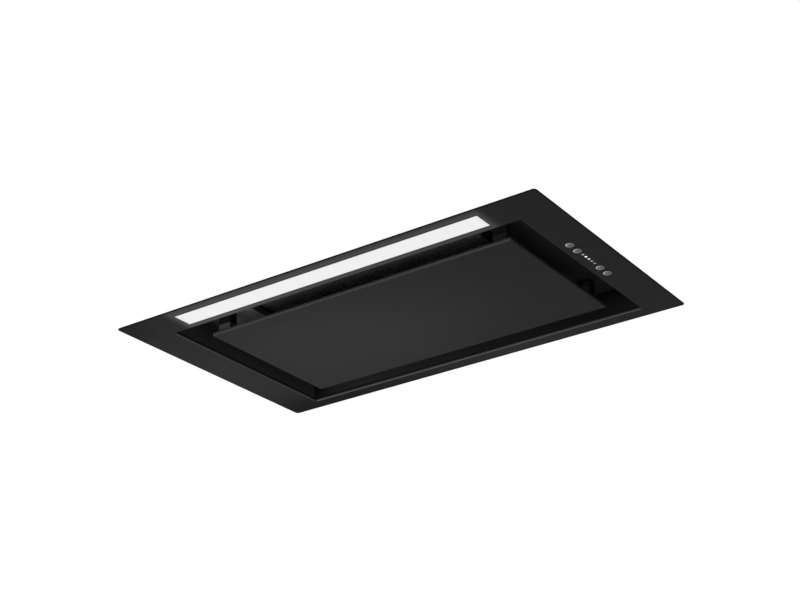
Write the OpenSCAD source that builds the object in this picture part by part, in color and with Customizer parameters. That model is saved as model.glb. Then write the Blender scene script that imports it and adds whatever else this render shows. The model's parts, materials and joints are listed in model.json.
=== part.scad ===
// Recessed ceiling range hood with a hinged suction panel.
// The origin is the middle of the ceiling cut-out, in the plane of the ceiling's lower face.
// +X is the side with the buttons, +Y the far side, where the suction panel is hinged, and +Z is up.
// Sizes are in millimetres.

/* [Face plate] */
// Width of the face plate
plate_w = 520; // [500:1:600]
// Depth of the face plate
plate_d = 318; // [310:1:360]
// Thickness of the face plate's sheet
plate_t = 1; // [0.8:0.1:1.5]
// Radius of the face plate's corners
plate_corner_r = 3.5; // [1:0.5:8]
// Flange left and right of the opening
side_flange = 43; // [42:1:60]
// Flange at the near edge, which holds the lamp
near_flange = 46.5; // [45:0.5:60]
// Flange at the far edge
far_flange = 20; // [16:0.5:30]
// Outer radius of the fold round the opening
fold_r = 3; // [2:0.5:4]
// Height of the folded-up walls above the ceiling plane
return_h = 30; // [28:1:40]

/* [Lamp] */
// Length of the lit strip
lamp_l = 378; // [300:1:400]
// Width of the lit strip
lamp_d = 24.5; // [20:0.5:26]
// Distance of the lit strip from the plate's near edge
lamp_inset = 12.5; // [12.2:0.1:16]
// Thickness of the diffuser
diffuser_t = 2.3; // [2:0.1:3]
// Height of the lamp housing
lamp_housing_h = 22; // [16:1:26]
// Wall of the lamp housing
lamp_wall = 1.2; // [1:0.1:1.3]
// Number of LED chips
led_count = 14; // [8:1:20]
// Side of an LED chip
led_size = 5; // [3:0.5:6]
// Width of the LED board
led_board_d = 12; // [8:1:16]
// Thickness of the LED board
led_board_t = 1.6; // [1:0.1:2]

/* [Suction panel] */
// Air gap left and right of the suction panel
gap_side = 27; // [22:0.5:32]
// Air gap between the opening's near edge and the panel
gap_near = 28.5; // [24:0.5:34]
// Air gap between the panel and the opening's far edge
gap_far = 25; // [20:0.5:32]
// Thickness of the panel's sheet
panel_t = 1; // [0.8:0.1:1.2]
// Height of the panel's folded edge, from its lower face
panel_edge_h = 3.4; // [3:0.1:5]
// Outer radius of the panel's folded edge
panel_fold_r = 1.5; // [1.3:0.1:1.6]
// Radius of the panel's corners
panel_corner_r = 2.5; // [2:0.5:5]
// Distance of the stiffening channel from the panel's near and far edges
stiffener_inset = 27; // [26:1:40]
// Width of the stiffening channel
stiffener_w = 24; // [16:1:30]
// Height of the stiffening channel
stiffener_h = 8; // [5:1:10]
// Width of the stiffening channel's glue flanges
stiffener_lip = 7; // [4:1:8]

/* [Panel hinge and catches] */
// Distance of each hinge's middle from the panel's side
hinge_side = 18; // [16:0.5:22]
// Distance of the hinge axis from the panel's far edge
hinge_inset = 10; // [10:0.5:14]
// Height of the hinge axis above the ceiling plane
hinge_z = 10; // [9:0.5:12]
// Radius of the hinge pin
hinge_pin_r = 2; // [1.5:0.1:2.5]
// Radial clearance of the hinge pin in the panel's ears
hinge_clear = 0.05; // [0.02:0.01:0.1]
// Sheet thickness of hinge ears, brackets and catches
fitting_t = 1.5; // [1.2:0.1:2]
// Width of the panel's hinge channel
ear_w = 12; // [10:1:14]
// Side gap between ear and bracket
ear_gap = 0.5; // [0.4:0.1:1]
// Height of the eyes round the hinge axis, from the axis
eye_r = 5; // [4:0.5:6]
// Width of a catch bracket
catch_w = 15.5; // [14:0.5:20]
// Distance of a catch bracket's middle from the panel's side
catch_inset = 15; // [13:0.5:16]
// Height of a catch bracket above the ceiling plane
catch_h = 11; // [9:0.5:14]
// Depth of a catch bracket
catch_d = 11; // [10:1:14]
// Width of the support plate between a catch and the filter's aperture
catch_rim = 14.5; // [12:0.5:18]
// Thickness of a catch magnet
magnet_t = 4; // [3:0.5:6]
// Gap between a catch magnet and its keeper
magnet_gap = 0.3; // [0.3:0.1:0.6]

/* [Grease filter] */
// Width of the support plate's rim near and far of the filter, inside the opening
support_rim = 30; // [29:0.5:40]
// Sheet thickness of the support plate
support_t = 1; // [0.8:0.1:1.5]
// Clearance round the filter in its aperture
filter_clear = 1; // [0.5:0.1:2]
// Height of the filter frame
filter_h = 9; // [8:0.5:14]
// How far the filter hangs below the support plate
filter_drop = 1; // [0.5:0.5:2]
// Wall of the filter frame
filter_wall = 1.2; // [1:0.1:1.5]
// Width of the filter frame's near and far lips
filter_lip = 14; // [14:0.5:18]
// Width of its side lips
filter_side_lip = 10; // [8:0.5:16]
// Pitch of the filter's mesh strands
mesh_pitch = 10; // [8:0.5:14]
// Thickness of a mesh strand
strand_t = 1; // [0.8:0.1:1.5]
// Travel of the filter latch
latch_travel = 5; // [4:0.5:5.5]
// Width of the latch's slider
latch_w = 32; // [24:1:40]

/* [Push buttons] */
// Distance of the button row from the plate's right edge
button_inset = 30; // [29:0.5:31]
// Radius of a button
button_r = 4.75; // [4:0.25:5]
// How far a button stands out of the plate
button_proud = 0.8; // [0.5:0.1:1.5]
// Distance between the two buttons of a pair
button_pitch = 15.7; // [14:0.1:17]
// Distance of the inner buttons from the middle of the row
button_first = 23.7; // [22:0.1:26]
// Travel of a button
button_travel = 1.2; // [0.8:0.1:1.5]
// Clearance round a button in the plate
button_clear = 0.3; // [0.3:0.05:0.5]
// Radius of a button's stem
stem_r = 2; // [1.5:0.1:2.5]
// Radial clearance of a button's stem in its guide
stem_clear = 0.08; // [0.03:0.01:0.1]
// Number of indicator lenses
lens_count = 5; // [3:2:5]
// Pitch of the indicator lenses
lens_pitch = 6.2; // [5:0.1:6.8]
// Radius of an indicator lens
lens_r = 1.6; // [1:0.1:2]

/* [Casing] */
// Cut-out overlap of the plate, left and right
overlap_x = 13; // [12:0.5:20]
// Cut-out overlap of the plate, near and far
overlap_y = 10; // [8:0.5:10.5]
// Sheet thickness of the casing
case_t = 1; // [0.8:0.1:1.2]
// Height of the lower casing
case_h = 92; // [88:1:120]
// Width of the motor box
box_w = 330; // [320:1:340]
// Depth of the motor box
box_d = 262; // [256:1:272]
// Height of the motor box
box_h = 185; // [184:1:220]
// Width of the motor box's foot flange
foot_w = 10; // [9:1:12]
// Radius of the side fixing holes
fixing_r = 2.25; // [2:0.05:2.75]
// Distance between the two fixing holes of one side
fixing_pitch = 220; // [160:1:240]
// Height of the fixing holes above the ceiling plane
fixing_z = 18; // [12:1:26]
// Width of a fixing spring
spring_w = 30; // [20:1:40]
// How far a fixing spring bows out of the casing
spring_bow = 9; // [6:0.5:12]

/* [Blower] */
// Radius of the impeller
impeller_r = 70; // [66:1:71]
// Width of the impeller
impeller_w = 100; // [90:1:110]
// Number of impeller blades
blade_count = 32; // [20:1:40]
// Inner width of the scroll
scroll_w = 120; // [114:1:124]
// Radius of the scroll at its tongue
tongue_r = 75; // [74.5:0.5:76]
// Radius of the scroll at its outlet
scroll_r = 112; // [108:1:114]
// Sheet thickness of the scroll
scroll_t = 1.2; // [1:0.1:1.5]
// Distance of the blower's axis in front of the middle of the box
blower_y = 30; // [26:1:34]
// Distance from the motor box lid down to the blower's axis
blower_below_lid = 90; // [86:1:94]
// Radius of the inlet rings
inlet_r = 58; // [54:1:60]

/* [Motor] */
// Radius of the motor
motor_r = 42; // [36:1:44]
// Length of the motor's housing
motor_l = 52; // [48:1:56]
// Radius of the motor's shaft
shaft_r = 4; // [3:0.5:5]
// Radial clearance of the shaft in its bearings
shaft_clear = 0.03; // [0.02:0.01:0.1]
// Outer radius of a bearing
bearing_r = 11; // [9:0.5:13]
// Width of a bearing
bearing_w = 7; // [5:0.5:8]
// Radius of the rotor
rotor_r = 22; // [18:1:26]
// Air gap between rotor and stator
air_gap = 0.5; // [0.4:0.1:1]
// Distance of the motor's rubber bushes from its axis
bush_pcr = 67; // [66:0.5:68]

/* [Outlet] */
// Outer radius of the outlet collar, for a 150 mm duct
collar_r = 74.5; // [74:0.1:74.8]
// Height of the outlet collar above the lid
collar_h = 50; // [40:1:60]
// Wall of the outlet collar
collar_wall = 2; // [1.5:0.1:3]
// Width of the collar's base flange
collar_flange = 9.5; // [9:0.5:10]
// Height of the flap spindle above the lid
spindle_z = 18; // [12:1:24]
// Radius of the flap spindle
spindle_r = 1.5; // [1.2:0.1:2]
// Radial clearance of the spindle in the flaps' knuckles
spindle_clear = 0.05; // [0.02:0.01:0.1]
// Thickness of a flap
flap_t = 1.2; // [1:0.1:2]
// Gap round the flaps in the collar
flap_gap = 0.7; // [0.5:0.1:1.5]

/* [Electronics] */
// Width of the electronics box
ebox_w = 65; // [56:1:66]
// Depth of the electronics box
ebox_d = 150; // [130:1:160]
// Height of the electronics box
ebox_h = 42; // [38:1:50]
// Wall of the electronics box
ebox_wall = 2; // [1.5:0.1:2.5]
// Radius of the mains cable that the gland takes
cable_r = 3.6; // [3:0.1:4.5]
// Radius of the internal cables
lead_r = 2.5; // [2:0.1:3]

/* [Hidden] */
$fn = 64;
cut = 1;                 // how far a cutter runs past what it cuts
plate_z = -plate_t;      // lower face of the face plate, and of the shut suction panel
open_w = plate_w - 2 * side_flange;
open_near = -plate_d / 2 + near_flange;
open_far = plate_d / 2 - far_flange;
open_d = open_far - open_near;
open_y = (open_near + open_far) / 2;

lamp_near = -plate_d / 2 + lamp_inset;
lamp_far = lamp_near + lamp_d;
lamp_y = (lamp_near + lamp_far) / 2;
lamp_rim = 0.2;                          // side clearance of the housing round the lit strip
lamp_ledge = 2.6;                        // diffuser ledge at the ends and the far side
housing_near = lamp_near - lamp_rim - lamp_wall;
housing_far = lamp_far + lamp_ledge;
housing_x = lamp_l / 2 + lamp_ledge + lamp_wall;

panel_w = open_w - 2 * gap_side;
panel_d = open_d - gap_near - gap_far;
panel_near = open_near + gap_near;
panel_far = open_far - gap_far;
panel_y = (panel_near + panel_far) / 2;
panel_in_z = plate_z + panel_t;          // inner face of the panel's sheet
hinge_x = panel_w / 2 - hinge_side;
hinge_y = panel_far - hinge_inset;
clevis_half = ear_w / 2 + ear_gap + fitting_t;
stiffener_x = hinge_x - ear_w / 2 - stiffener_lip - 2;   // half its width
stiffener_sheet = 0.8;
catch_x = panel_w / 2 - catch_inset;
catch_y = panel_near + 3;                // front face of a catch bracket
ear_tail = 22;                           // reach of an ear's tail from the hinge axis
ear_slope = 26;                          // slope of that tail, in degrees
magnet_w = 11;

support_z = return_h;
support_top = support_z + support_t;
support_lap = 4;                         // how far the support plate laps over the folded walls
aperture_x = catch_x - catch_w / 2 - catch_rim;   // half its width
aperture_w = 2 * aperture_x;
aperture_d = open_d - 2 * support_rim;
filter_w = aperture_w - 2 * filter_clear;
filter_d = aperture_d - 2 * filter_clear;
filter_z = support_z - filter_drop;
filter_near = open_y - filter_d / 2;
filter_far = open_y + filter_d / 2;
filter_tab = 5;                          // reach of the filter's far tabs over the support plate
latch_z = support_top + 0.3;             // lower face of the latch tongue
tongue_t = 1.5;
latch_block_d = 6;
latch_near = filter_near + filter_wall + 0.5;
pad_near = filter_near + filter_wall + 0.5 + latch_block_d + latch_travel + 2;
knob_w = 16;
knob_d = 4;

button_x = plate_w / 2 - button_inset;
carrier_x0 = open_w / 2 + fold_r + 0.5;
carrier_x1 = carrier_x0 + 23;
carrier_half = button_first + button_pitch + 11;
carrier_h = 8;
button_head_r = button_r + 1.1;          // retaining collar of a button
button_head_t = 1.2;
button_rest = 0.3;                       // gap between a button's collar and the plate
stem_top = 8.9;
guide_z = 4.4;                           // underside of the stem guides
board_z = 13;                            // underside of the switch board
board_t = 1.6;
switch_h = board_z - carrier_h - 0.4;
cover_h = 18;

case_w = plate_w - 2 * overlap_x;
case_d = plate_d - 2 * overlap_y;
post_r = 5.5;
roof_top = case_h + case_t;
box_top = roof_top + box_h;
lid_top = box_top + case_t;
lid_lip = 12;

axis_y = -blower_y;
axis_z = box_top - blower_below_lid;
tongue_a = 60;                           // angle of the scroll's tongue from +Y
spiral_step = 10;
growth = (scroll_r - tongue_r) / (360 - tongue_a);
tongue_u = tongue_r * cos(tongue_a);
tongue_v = tongue_r * sin(tongue_a);
collar_y = axis_y + (tongue_u + scroll_r) / 2;
blower_screw_x = collar_r + collar_flange + 6;
side_x = scroll_w / 2 + scroll_t;        // outer face of a scroll side
motor_x0 = 6;                            // where the motor's housing starts, right of the hub disc
motor_x1 = motor_x0 + motor_l;
motor_wall = 1.5;
bell_t = 4;
hub_x0 = -12;
clip_t = 2;
arm_t = 2;
arm_half = 6;                            // half the width of an arm of the motor's spider
bush_angles = [30, 150, 270];
bush_head_t = 2.8;                       // thickness of a rubber bush's two heads
bush_neck_r = 4.5;
bush_r = 6;
bush_x = [side_x, side_x + bush_head_t, side_x + bush_head_t + arm_t, side_x + 2 * bush_head_t + arm_t];
blade_l = 12;                            // chord of an impeller blade
blade_angle = 35;

spindle_h = lid_top + spindle_z;
knuckle_r = spindle_r + 1.5;
flap_z = spindle_h - knuckle_r;          // underside of a shut flap
flap_r = collar_r - collar_wall - flap_gap;
stop_t = 2;
knuckle_l = 20;
knuckle_pitch = 32;
knuckle_x0 = -2 * knuckle_pitch + 2;     // where the far flap's first knuckle starts
flap_split = 0.4;                        // half the gap between the two flaps
collar_holes = 4;
collar_base_t = 2.5;

ebox_x0 = box_w / 2 + foot_w + 3;
ebox_x1 = ebox_x0 + ebox_w;
ebox_near = -80;
ebox_far = ebox_near + ebox_d;
ebox_top = roof_top + ebox_h;
pcb_z = roof_top + ebox_wall + 5;
gland_x = ebox_x0 + 32;
gland_z = roof_top + 24;
driver_lo = [ebox_x0, -140, roof_top];
driver_hi = [ebox_x0 + 60, -96, roof_top + 22];
driver_lead_x = ebox_x0 + 20;            // lead from the LED driver to the electronics box
driver_lead_z = roof_top + 11;
ear_y = 16;                              // inset of the driver's screw ears
capacitor_r = 8;
capacitor_l = 64;
gland_tube_r = cable_r + 4;
gland_nut_r = cable_r + 7.5;
lamp_lead_x = lamp_l / 2 - 3;
control_lead_y = 12;
control_lead_x = carrier_x1 - 7;
motor_lead_y = axis_y;
motor_lead_z = [axis_z - 30, roof_top + 22];
motor_lead_x = 122;
bend_r = 12;
grommet_r = lead_r + 2.5;
screw_r = 1.9;
head_r = 3.6;
head_h = 2;
foot_screw_l = 6;
foot_pitch_x = box_w / 2 - 26;
foot_pitch_y = box_d / 2 - 52;
roof_screw_l = 8;
blower_screw_l = 5;
collar_screw_l = 7;
spring_screw_l = 5;
spring_screw_z = case_h - 14;

// ---- shared shapes ----

// A block from its lowest corner to its highest corner
module block(lo, hi) {
    translate(lo) cube(hi - lo);
}

// A round bar along X, centred on [y, z]
module bar_x(r, x0, x1, y, z) {
    translate([x0, y, z]) rotate([0, 90, 0]) cylinder(r = r, h = x1 - x0);
}

// A round bar along Y, centred on [x, z]
module bar_y(r, y0, y1, x, z) {
    translate([x, y0, z]) rotate([-90, 0, 0]) cylinder(r = r, h = y1 - y0);
}

// A round bar along Z, centred on [x, y]
module bar_z(r, z0, z1, x, y) {
    translate([x, y, z0]) cylinder(r = r, h = z1 - z0);
}

// A rectangle with round corners
module rounded_rect(w, d, r) {
    square([w - 2 * r, d], center = true);
    square([w, d - 2 * r], center = true);
    for (sx = [-1, 1], sy = [-1, 1])
        translate([sx * (w / 2 - r), sy * (d / 2 - r)]) circle(r);
}

// The children, a section in Y and Z, drawn out along X from x0 to x1
module along_x(x0, x1) {
    translate([x0, 0, 0]) rotate([90, 0, 90]) linear_extrude(x1 - x0) children();
}

// The children, a section in X and Z, drawn out along Y from y0 to y1
module along_y(y0, y1) {
    translate([0, y1, 0]) rotate([90, 0, 0]) linear_extrude(y1 - y0) children();
}

// Section of a passage through sheet that is folded up at its edges with radius r
module passage_section(half, r, base, top, below) {
    translate([-half, base - below]) square([2 * half, top - base + below]);
    difference() {
        translate([-half - r, base - below]) square([2 * (half + r), r + below]);
        for (s = [-1, 1]) translate([s * (half + r), base + r]) circle(r);
    }
}

// Passage whose four edges flare out at the bottom, with mitred corners
module folded_passage(w, d, r, base, top, below) {
    intersection() {
        along_x(-w / 2 - r - cut, w / 2 + r + cut) passage_section(d / 2, r, base, top, below);
        along_y(-d / 2 - r - cut, d / 2 + r + cut) passage_section(w / 2, r, base, top, below);
    }
}

// Section of a tray whose lower corners are rounded with radius r
module tray_section(half, r, base, top) {
    translate([-half, base + r]) square([2 * half, top - base - r]);
    translate([-half + r, base]) square([2 * (half - r), r]);
    for (s = [-1, 1]) translate([s * (half - r), base + r]) circle(r);
}

// Solid with the outer form of a folded tray
module tray_form(w, d, r, corner_r, base, top) {
    intersection() {
        along_x(-w / 2 - cut, w / 2 + cut) tray_section(d / 2, r, base, top);
        along_y(-d / 2 - cut, d / 2 + cut) tray_section(w / 2, r, base, top);
        translate([0, 0, base - cut])
            linear_extrude(top - base + 2 * cut) rounded_rect(w, d, corner_r);
    }
}

// Rectangular ring, w by d outside, with walls of thickness t
module frame_ring(w, d, t, z0, z1) {
    difference() {
        block([-w / 2, -d / 2, z0], [w / 2, d / 2, z1]);
        block([-w / 2 + t, -d / 2 + t, z0 - cut], [w / 2 - t, d / 2 - t, z1 + cut]);
    }
}

// Screw with a pan head and a cross recess, head up, its seat at the origin
module screw(length) {
    difference() {
        union() {
            cylinder(r = head_r, h = head_h);
            translate([0, 0, -length]) cylinder(r = screw_r, h = length + head_h / 2);
        }
        for (a = [0, 90])
            rotate(a) translate([-head_r * 0.55, -0.4, head_h * 0.45]) cube([head_r * 1.1, 0.8, head_h]);
    }
}

// ---- face plate and casing ----

// The four button places along Y, from the near one to the far one
function button_places() = [
    -button_first - button_pitch, -button_first, button_first, button_first + button_pitch
];
function lens_places() = [for (i = [0:lens_count - 1]) (i - (lens_count - 1) / 2) * lens_pitch];

module face_plate() color([0.035, 0.035, 0.037]) difference() {
    union() {
        translate([0, 0, plate_z]) linear_extrude(plate_t)
            rounded_rect(plate_w, plate_d, plate_corner_r);
        translate([0, open_y, 0])
            folded_passage(open_w + 2 * plate_t, open_d + 2 * plate_t, fold_r - plate_t,
                plate_z + plate_t, return_h, plate_t / 2);
    }
    translate([0, open_y, 0])
        folded_passage(open_w, open_d, fold_r, plate_z, return_h + cut, cut);
    block([-lamp_l / 2, lamp_near, plate_z - cut], [lamp_l / 2, lamp_far, cut]);
    for (y = button_places()) bar_z(button_r + button_clear, plate_z - cut, cut, button_x, y);
    for (y = lens_places()) bar_z(lens_r + 0.1, plate_z - cut, cut, button_x, y);
}

module lower_casing() color([0.62, 0.64, 0.65]) difference() {
    union() {
        frame_ring(case_w, case_d, case_t, 0, case_h);
        // corner posts that take the roof's screws
        for (p = roof_screws()) bar_z(post_r, case_h - 14, case_h, p[0], p[1]);
    }
    for (p = roof_screws()) bar_z(screw_r, case_h - 10, case_h + cut, p[0], p[1]);
    for (y = [-1, 1])
        bar_x(fixing_r, -case_w / 2 - cut, case_w / 2 + cut, y * fixing_pitch / 2, fixing_z);
    for (y = [-1, 1])
        bar_x(screw_r, -case_w / 2 - cut, case_w / 2 + cut, y * spring_w / 4, spring_screw_z);
}

// Places of the screws that hold the motor box's foot to the casing roof
function foot_screws() = [
    for (x = [-1, 0, 1], y = [-1, 1]) [x * foot_pitch_x, y * (box_d + foot_w) / 2],
    for (y = [-1, 1]) [-(box_w + foot_w) / 2, y * foot_pitch_y]
];
// Places of the screws that hold the casing roof to the lower casing's corner posts
function roof_screws() = [
    for (x = [-1, 1], y = [-1, 1]) [x * (case_w / 2 - post_r), y * (case_d / 2 - post_r)]
];

module casing_roof() color([0.64, 0.66, 0.67]) difference() {
    block([-case_w / 2, -case_d / 2, case_h], [case_w / 2, case_d / 2, roof_top]);
    block([-box_w / 2 + 7, -box_d / 2 + 7, case_h - cut], [box_w / 2 - 7, box_d / 2 - 7, roof_top + cut]);
    for (p = foot_screws()) bar_z(screw_r, case_h - cut, roof_top + cut, p[0], p[1]);
    for (p = roof_screws()) bar_z(screw_r, case_h - cut, roof_top + cut, p[0], p[1]);
    bar_z(grommet_r - 1, case_h - cut, roof_top + cut, lamp_lead_x, lamp_y);
    bar_z(grommet_r - 1, case_h - cut, roof_top + cut, control_lead_x, control_lead_y);
}

module motor_box() color([0.66, 0.68, 0.69]) difference() {
    union() {
        frame_ring(box_w, box_d, case_t, roof_top, box_top);
        frame_ring(box_w + 2 * foot_w, box_d + 2 * foot_w, foot_w + case_t, roof_top, roof_top + case_t);
    }
    for (p = foot_screws()) bar_z(screw_r, roof_top - cut, roof_top + 2 * case_t, p[0], p[1]);
    bar_x(grommet_r - 1, box_w / 2 - 2 * case_t, box_w / 2 + cut, motor_lead_y, motor_lead_z[1]);
}

module motor_box_lid() color([0.66, 0.68, 0.69]) difference() {
    union() {
        block([-box_w / 2, -box_d / 2, box_top], [box_w / 2, box_d / 2, lid_top]);
        frame_ring(box_w + 2 * case_t, box_d + 2 * case_t, case_t, box_top - lid_lip, lid_top);
    }
    block([-scroll_w / 2, axis_y + tongue_u, box_top - cut],
        [scroll_w / 2, axis_y + scroll_r, lid_top + cut]);
    collar_screw_places() bar_z(screw_r, box_top - cut, lid_top + cut, 0, 0);
    for (s = [-1, 1], y = blower_screw_y())
        bar_z(screw_r, box_top - cut, lid_top + cut, s * blower_screw_x, y);
}

// One leaf spring on the right-hand wall: flat foot, bow and lifted tail
module fixing_spring() {
    wall = case_w / 2;
    difference() {
        along_y(-spring_w / 2, spring_w / 2) polygon([
            [wall, case_h - 6], [wall, case_h - 24], [wall + spring_bow, fixing_z + 8],
            [wall + 2, 4], [wall + 3, 4], [wall + spring_bow + 1, fixing_z + 8],
            [wall + 1, case_h - 24], [wall + 1, case_h - 6]
        ]);
        for (y = [-1, 1]) bar_x(screw_r, wall - cut, wall + 2, y * spring_w / 4, spring_screw_z);
    }
}

module fixing_springs() color([0.72, 0.73, 0.74]) {
    fixing_spring();
    mirror([1, 0, 0]) fixing_spring();
}

// ---- filter ----

module support_plate() color([0.06, 0.06, 0.063]) difference() {
    translate([0, open_y, 0]) difference() {
        w = open_w + 2 * (plate_t + support_lap);
        d = open_d + 2 * (plate_t + support_lap);
        block([-w / 2, -d / 2, support_z], [w / 2, d / 2, support_top]);
        block([-aperture_w / 2, -aperture_d / 2, support_z - cut],
            [aperture_w / 2, aperture_d / 2, support_top + cut]);
    }
}

module filter_frame() color([0.55, 0.56, 0.57]) {
    top = filter_z + filter_h;
    difference() {
        block([-filter_w / 2, filter_near, filter_z], [filter_w / 2, filter_far, top]);
        // channel that holds the mesh
        block([-filter_w / 2 + filter_wall, filter_near + filter_wall, filter_z + filter_wall],
            [filter_w / 2 - filter_wall, filter_far - filter_wall, top - filter_wall]);
        block([-filter_w / 2 + filter_side_lip, filter_near + filter_lip, filter_z - cut],
            [filter_w / 2 - filter_side_lip, filter_far - filter_lip, top + cut]);
        // slot for the latch's tongue, and slot for its knob
        block([-latch_w / 2 + 3, filter_near - cut, latch_z - 0.5],
            [latch_w / 2 - 3, filter_near + filter_wall + cut, latch_z + tongue_t + 0.5]);
        block([-knob_w / 2 - 0.5, latch_near + 0.5, filter_z - cut],
            [knob_w / 2 + 0.5, latch_near + 1.5 + knob_d + latch_travel, filter_z + filter_wall + cut]);
    }
    // tabs that rest on the support plate at the far side
    for (s = [-1, 1])
        block([s * filter_w / 4 - 12, filter_far - filter_wall, support_top],
            [s * filter_w / 4 + 12, filter_far + filter_clear + filter_tab, support_top + 1.5]);
}

// Two crossed layers of strands inside the filter's channel
module filter_mesh() color([0.5, 0.51, 0.52]) {
    x1 = filter_w / 2 - filter_wall;
    y1 = filter_far - filter_wall;
    z0 = filter_z + filter_wall;
    z1 = filter_z + filter_h - filter_wall;
    zm = (z0 + z1) / 2;
    nx = floor(2 * x1 / mesh_pitch / 2);
    ny = floor((y1 - pad_near) / mesh_pitch);
    for (i = [-nx:nx])
        block([i * mesh_pitch - strand_t / 2, pad_near, z0], [i * mesh_pitch + strand_t / 2, y1, zm + 0.2]);
    for (j = [0:ny]) {
        y = pad_near + j * mesh_pitch;
        block([-x1, y, zm - 0.2], [x1, min(y + strand_t, y1), z1]);
    }
}

module filter_latch() color([0.1, 0.1, 0.1]) {
    block([-latch_w / 2, latch_near, latch_z], [latch_w / 2, latch_near + latch_block_d, latch_z + 4]);
    // tongue over the support plate
    block([-latch_w / 2 + 3.5, filter_near - filter_clear - latch_travel + 1, latch_z],
        [latch_w / 2 - 3.5, latch_near + cut, latch_z + tongue_t]);
    // finger knob below the filter
    block([-knob_w / 2, latch_near + 1, filter_z - 2.5],
        [knob_w / 2, latch_near + 1 + knob_d, latch_z + cut]);
}

// ---- lamp ----

module lamp_diffuser() color([0.96, 0.96, 0.95]) {
    side = 0.15;
    block([-lamp_l / 2 + side, lamp_near + side, plate_z + 0.1],
        [lamp_l / 2 - side, lamp_far - side, plate_z + diffuser_t]);
    block([-lamp_l / 2 - lamp_ledge + side, lamp_near - side / 2, 0],
        [lamp_l / 2 + lamp_ledge - side, lamp_far + lamp_ledge - lamp_wall - side, plate_z + diffuser_t]);
}

module lamp_housing() color([0.9, 0.9, 0.89]) difference() {
    block([-housing_x, housing_near, 0], [housing_x, housing_far, lamp_housing_h]);
    block([-housing_x + lamp_wall, housing_near + lamp_wall, -cut],
        [housing_x - lamp_wall, housing_far - lamp_wall, lamp_housing_h - lamp_wall]);
    bar_z(lead_r, lamp_housing_h - lamp_wall - cut, lamp_housing_h + cut, lamp_lead_x, lamp_y);
}

module led_board() color([0.9, 0.91, 0.9]) {
    top = lamp_housing_h - lamp_wall;
    block([-lamp_l / 2 + 12, lamp_y - led_board_d / 2, top - led_board_t],
        [lamp_l / 2 - 12, lamp_y + led_board_d / 2, top]);
}

module led_chips() color([0.98, 0.95, 0.8]) {
    top = lamp_housing_h - lamp_wall - led_board_t;
    span = lamp_l - 40;
    for (i = [0:led_count - 1]) {
        x = -span / 2 + i * span / (led_count - 1);
        block([x - led_size / 2, lamp_y - led_size / 2, top - 1.2],
            [x + led_size / 2, lamp_y + led_size / 2, top]);
    }
}

module led_driver() color([0.88, 0.88, 0.86]) difference() {
    union() {
        block(driver_lo, driver_hi);
        // screw ears on the casing roof
        block([driver_lo[0] - 2, driver_lo[1] + ear_y, driver_lo[2]],
            [driver_hi[0] + 3, driver_hi[1] - ear_y, driver_lo[2] + 2]);
    }
    bar_z(lead_r, driver_lo[2] - cut, driver_lo[2] + 4, lamp_lead_x, lamp_y);
    bar_y(lead_r, driver_hi[1] - 4, driver_hi[1] + cut, driver_lead_x, driver_lead_z);
}

// Lead from the lamp housing up to the driver, and from the driver to the electronics box
module lamp_cable() color([0.85, 0.85, 0.85]) {
    bar_z(lead_r, lamp_housing_h - lamp_wall, roof_top + 4, lamp_lead_x, lamp_y);
    bar_y(lead_r, driver_hi[1] - 4, ebox_near + ebox_wall, driver_lead_x, driver_lead_z);
}

// ---- suction panel ----

module suction_panel() color([0.045, 0.045, 0.047]) translate([0, panel_y, 0]) difference() {
    top = plate_z + panel_edge_h;
    tray_form(panel_w, panel_d, panel_fold_r, panel_corner_r, plate_z, top);
    tray_form(panel_w - 2 * panel_t, panel_d - 2 * panel_t, panel_fold_r - panel_t,
        panel_corner_r - panel_t, plate_z + panel_t, top + cut);
}

// Top-hat channel glued inside the panel, all round
module panel_stiffener() color([0.6, 0.62, 0.63]) translate([0, panel_y, panel_in_z]) {
    w = 2 * stiffener_x;
    d = panel_d - 2 * stiffener_inset;
    t = stiffener_sheet;
    difference() {
        frame_ring(w, d, stiffener_w, 0, stiffener_h);
        frame_ring(w - 2 * t, d - 2 * t, stiffener_w - 2 * t, -cut, stiffener_h - t);
    }
    frame_ring(w + 2 * stiffener_lip, d + 2 * stiffener_lip, stiffener_lip + t, 0, t);
    frame_ring(w - 2 * stiffener_w + 2 * t, d - 2 * stiffener_w + 2 * t, stiffener_lip + t, 0, t);
}

// Upright with a foot on the panel and a keeper flange under the magnet
module catch_bracket() {
    x0 = catch_x - catch_w / 2;
    x1 = catch_x + catch_w / 2;
    block([x0, catch_y, panel_in_z], [x1, catch_y + fitting_t, catch_h]);
    block([x0, catch_y, panel_in_z], [x1, catch_y + catch_d, panel_in_z + fitting_t]);
    block([x0, catch_y, catch_h - fitting_t], [x1, catch_y + catch_d, catch_h]);
}

module panel_catch_brackets() color([0.13, 0.13, 0.135]) {
    catch_bracket();
    mirror([1, 0, 0]) catch_bracket();
}

// Channel with two ears on the panel's inside
module hinge_ear() {
    half = ear_w / 2;
    for (s = [0, 1])
        difference() {
            x = hinge_x - half + s * (ear_w - fitting_t);
            union() {
                block([x, hinge_y - ear_tail, panel_in_z], [x + fitting_t, hinge_y + eye_r, hinge_z]);
                bar_x(eye_r, x, x + fitting_t, hinge_y, hinge_z);
            }
            bar_x(hinge_pin_r + hinge_clear, x - cut, x + fitting_t + cut, hinge_y, hinge_z);
            // sloping tail
            translate([x - cut, hinge_y - ear_tail, panel_in_z + 2 * fitting_t]) rotate([ear_slope, 0, 0])
                cube([fitting_t + 2 * cut, ear_tail + 2 * eye_r, 2 * hinge_z]);
        }
    block([hinge_x - half, hinge_y - ear_tail, panel_in_z],
        [hinge_x + half, hinge_y + eye_r, panel_in_z + fitting_t]);
}

module panel_hinge_ears() color([0.6, 0.62, 0.63]) {
    hinge_ear();
    mirror([1, 0, 0]) hinge_ear();
}

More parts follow.
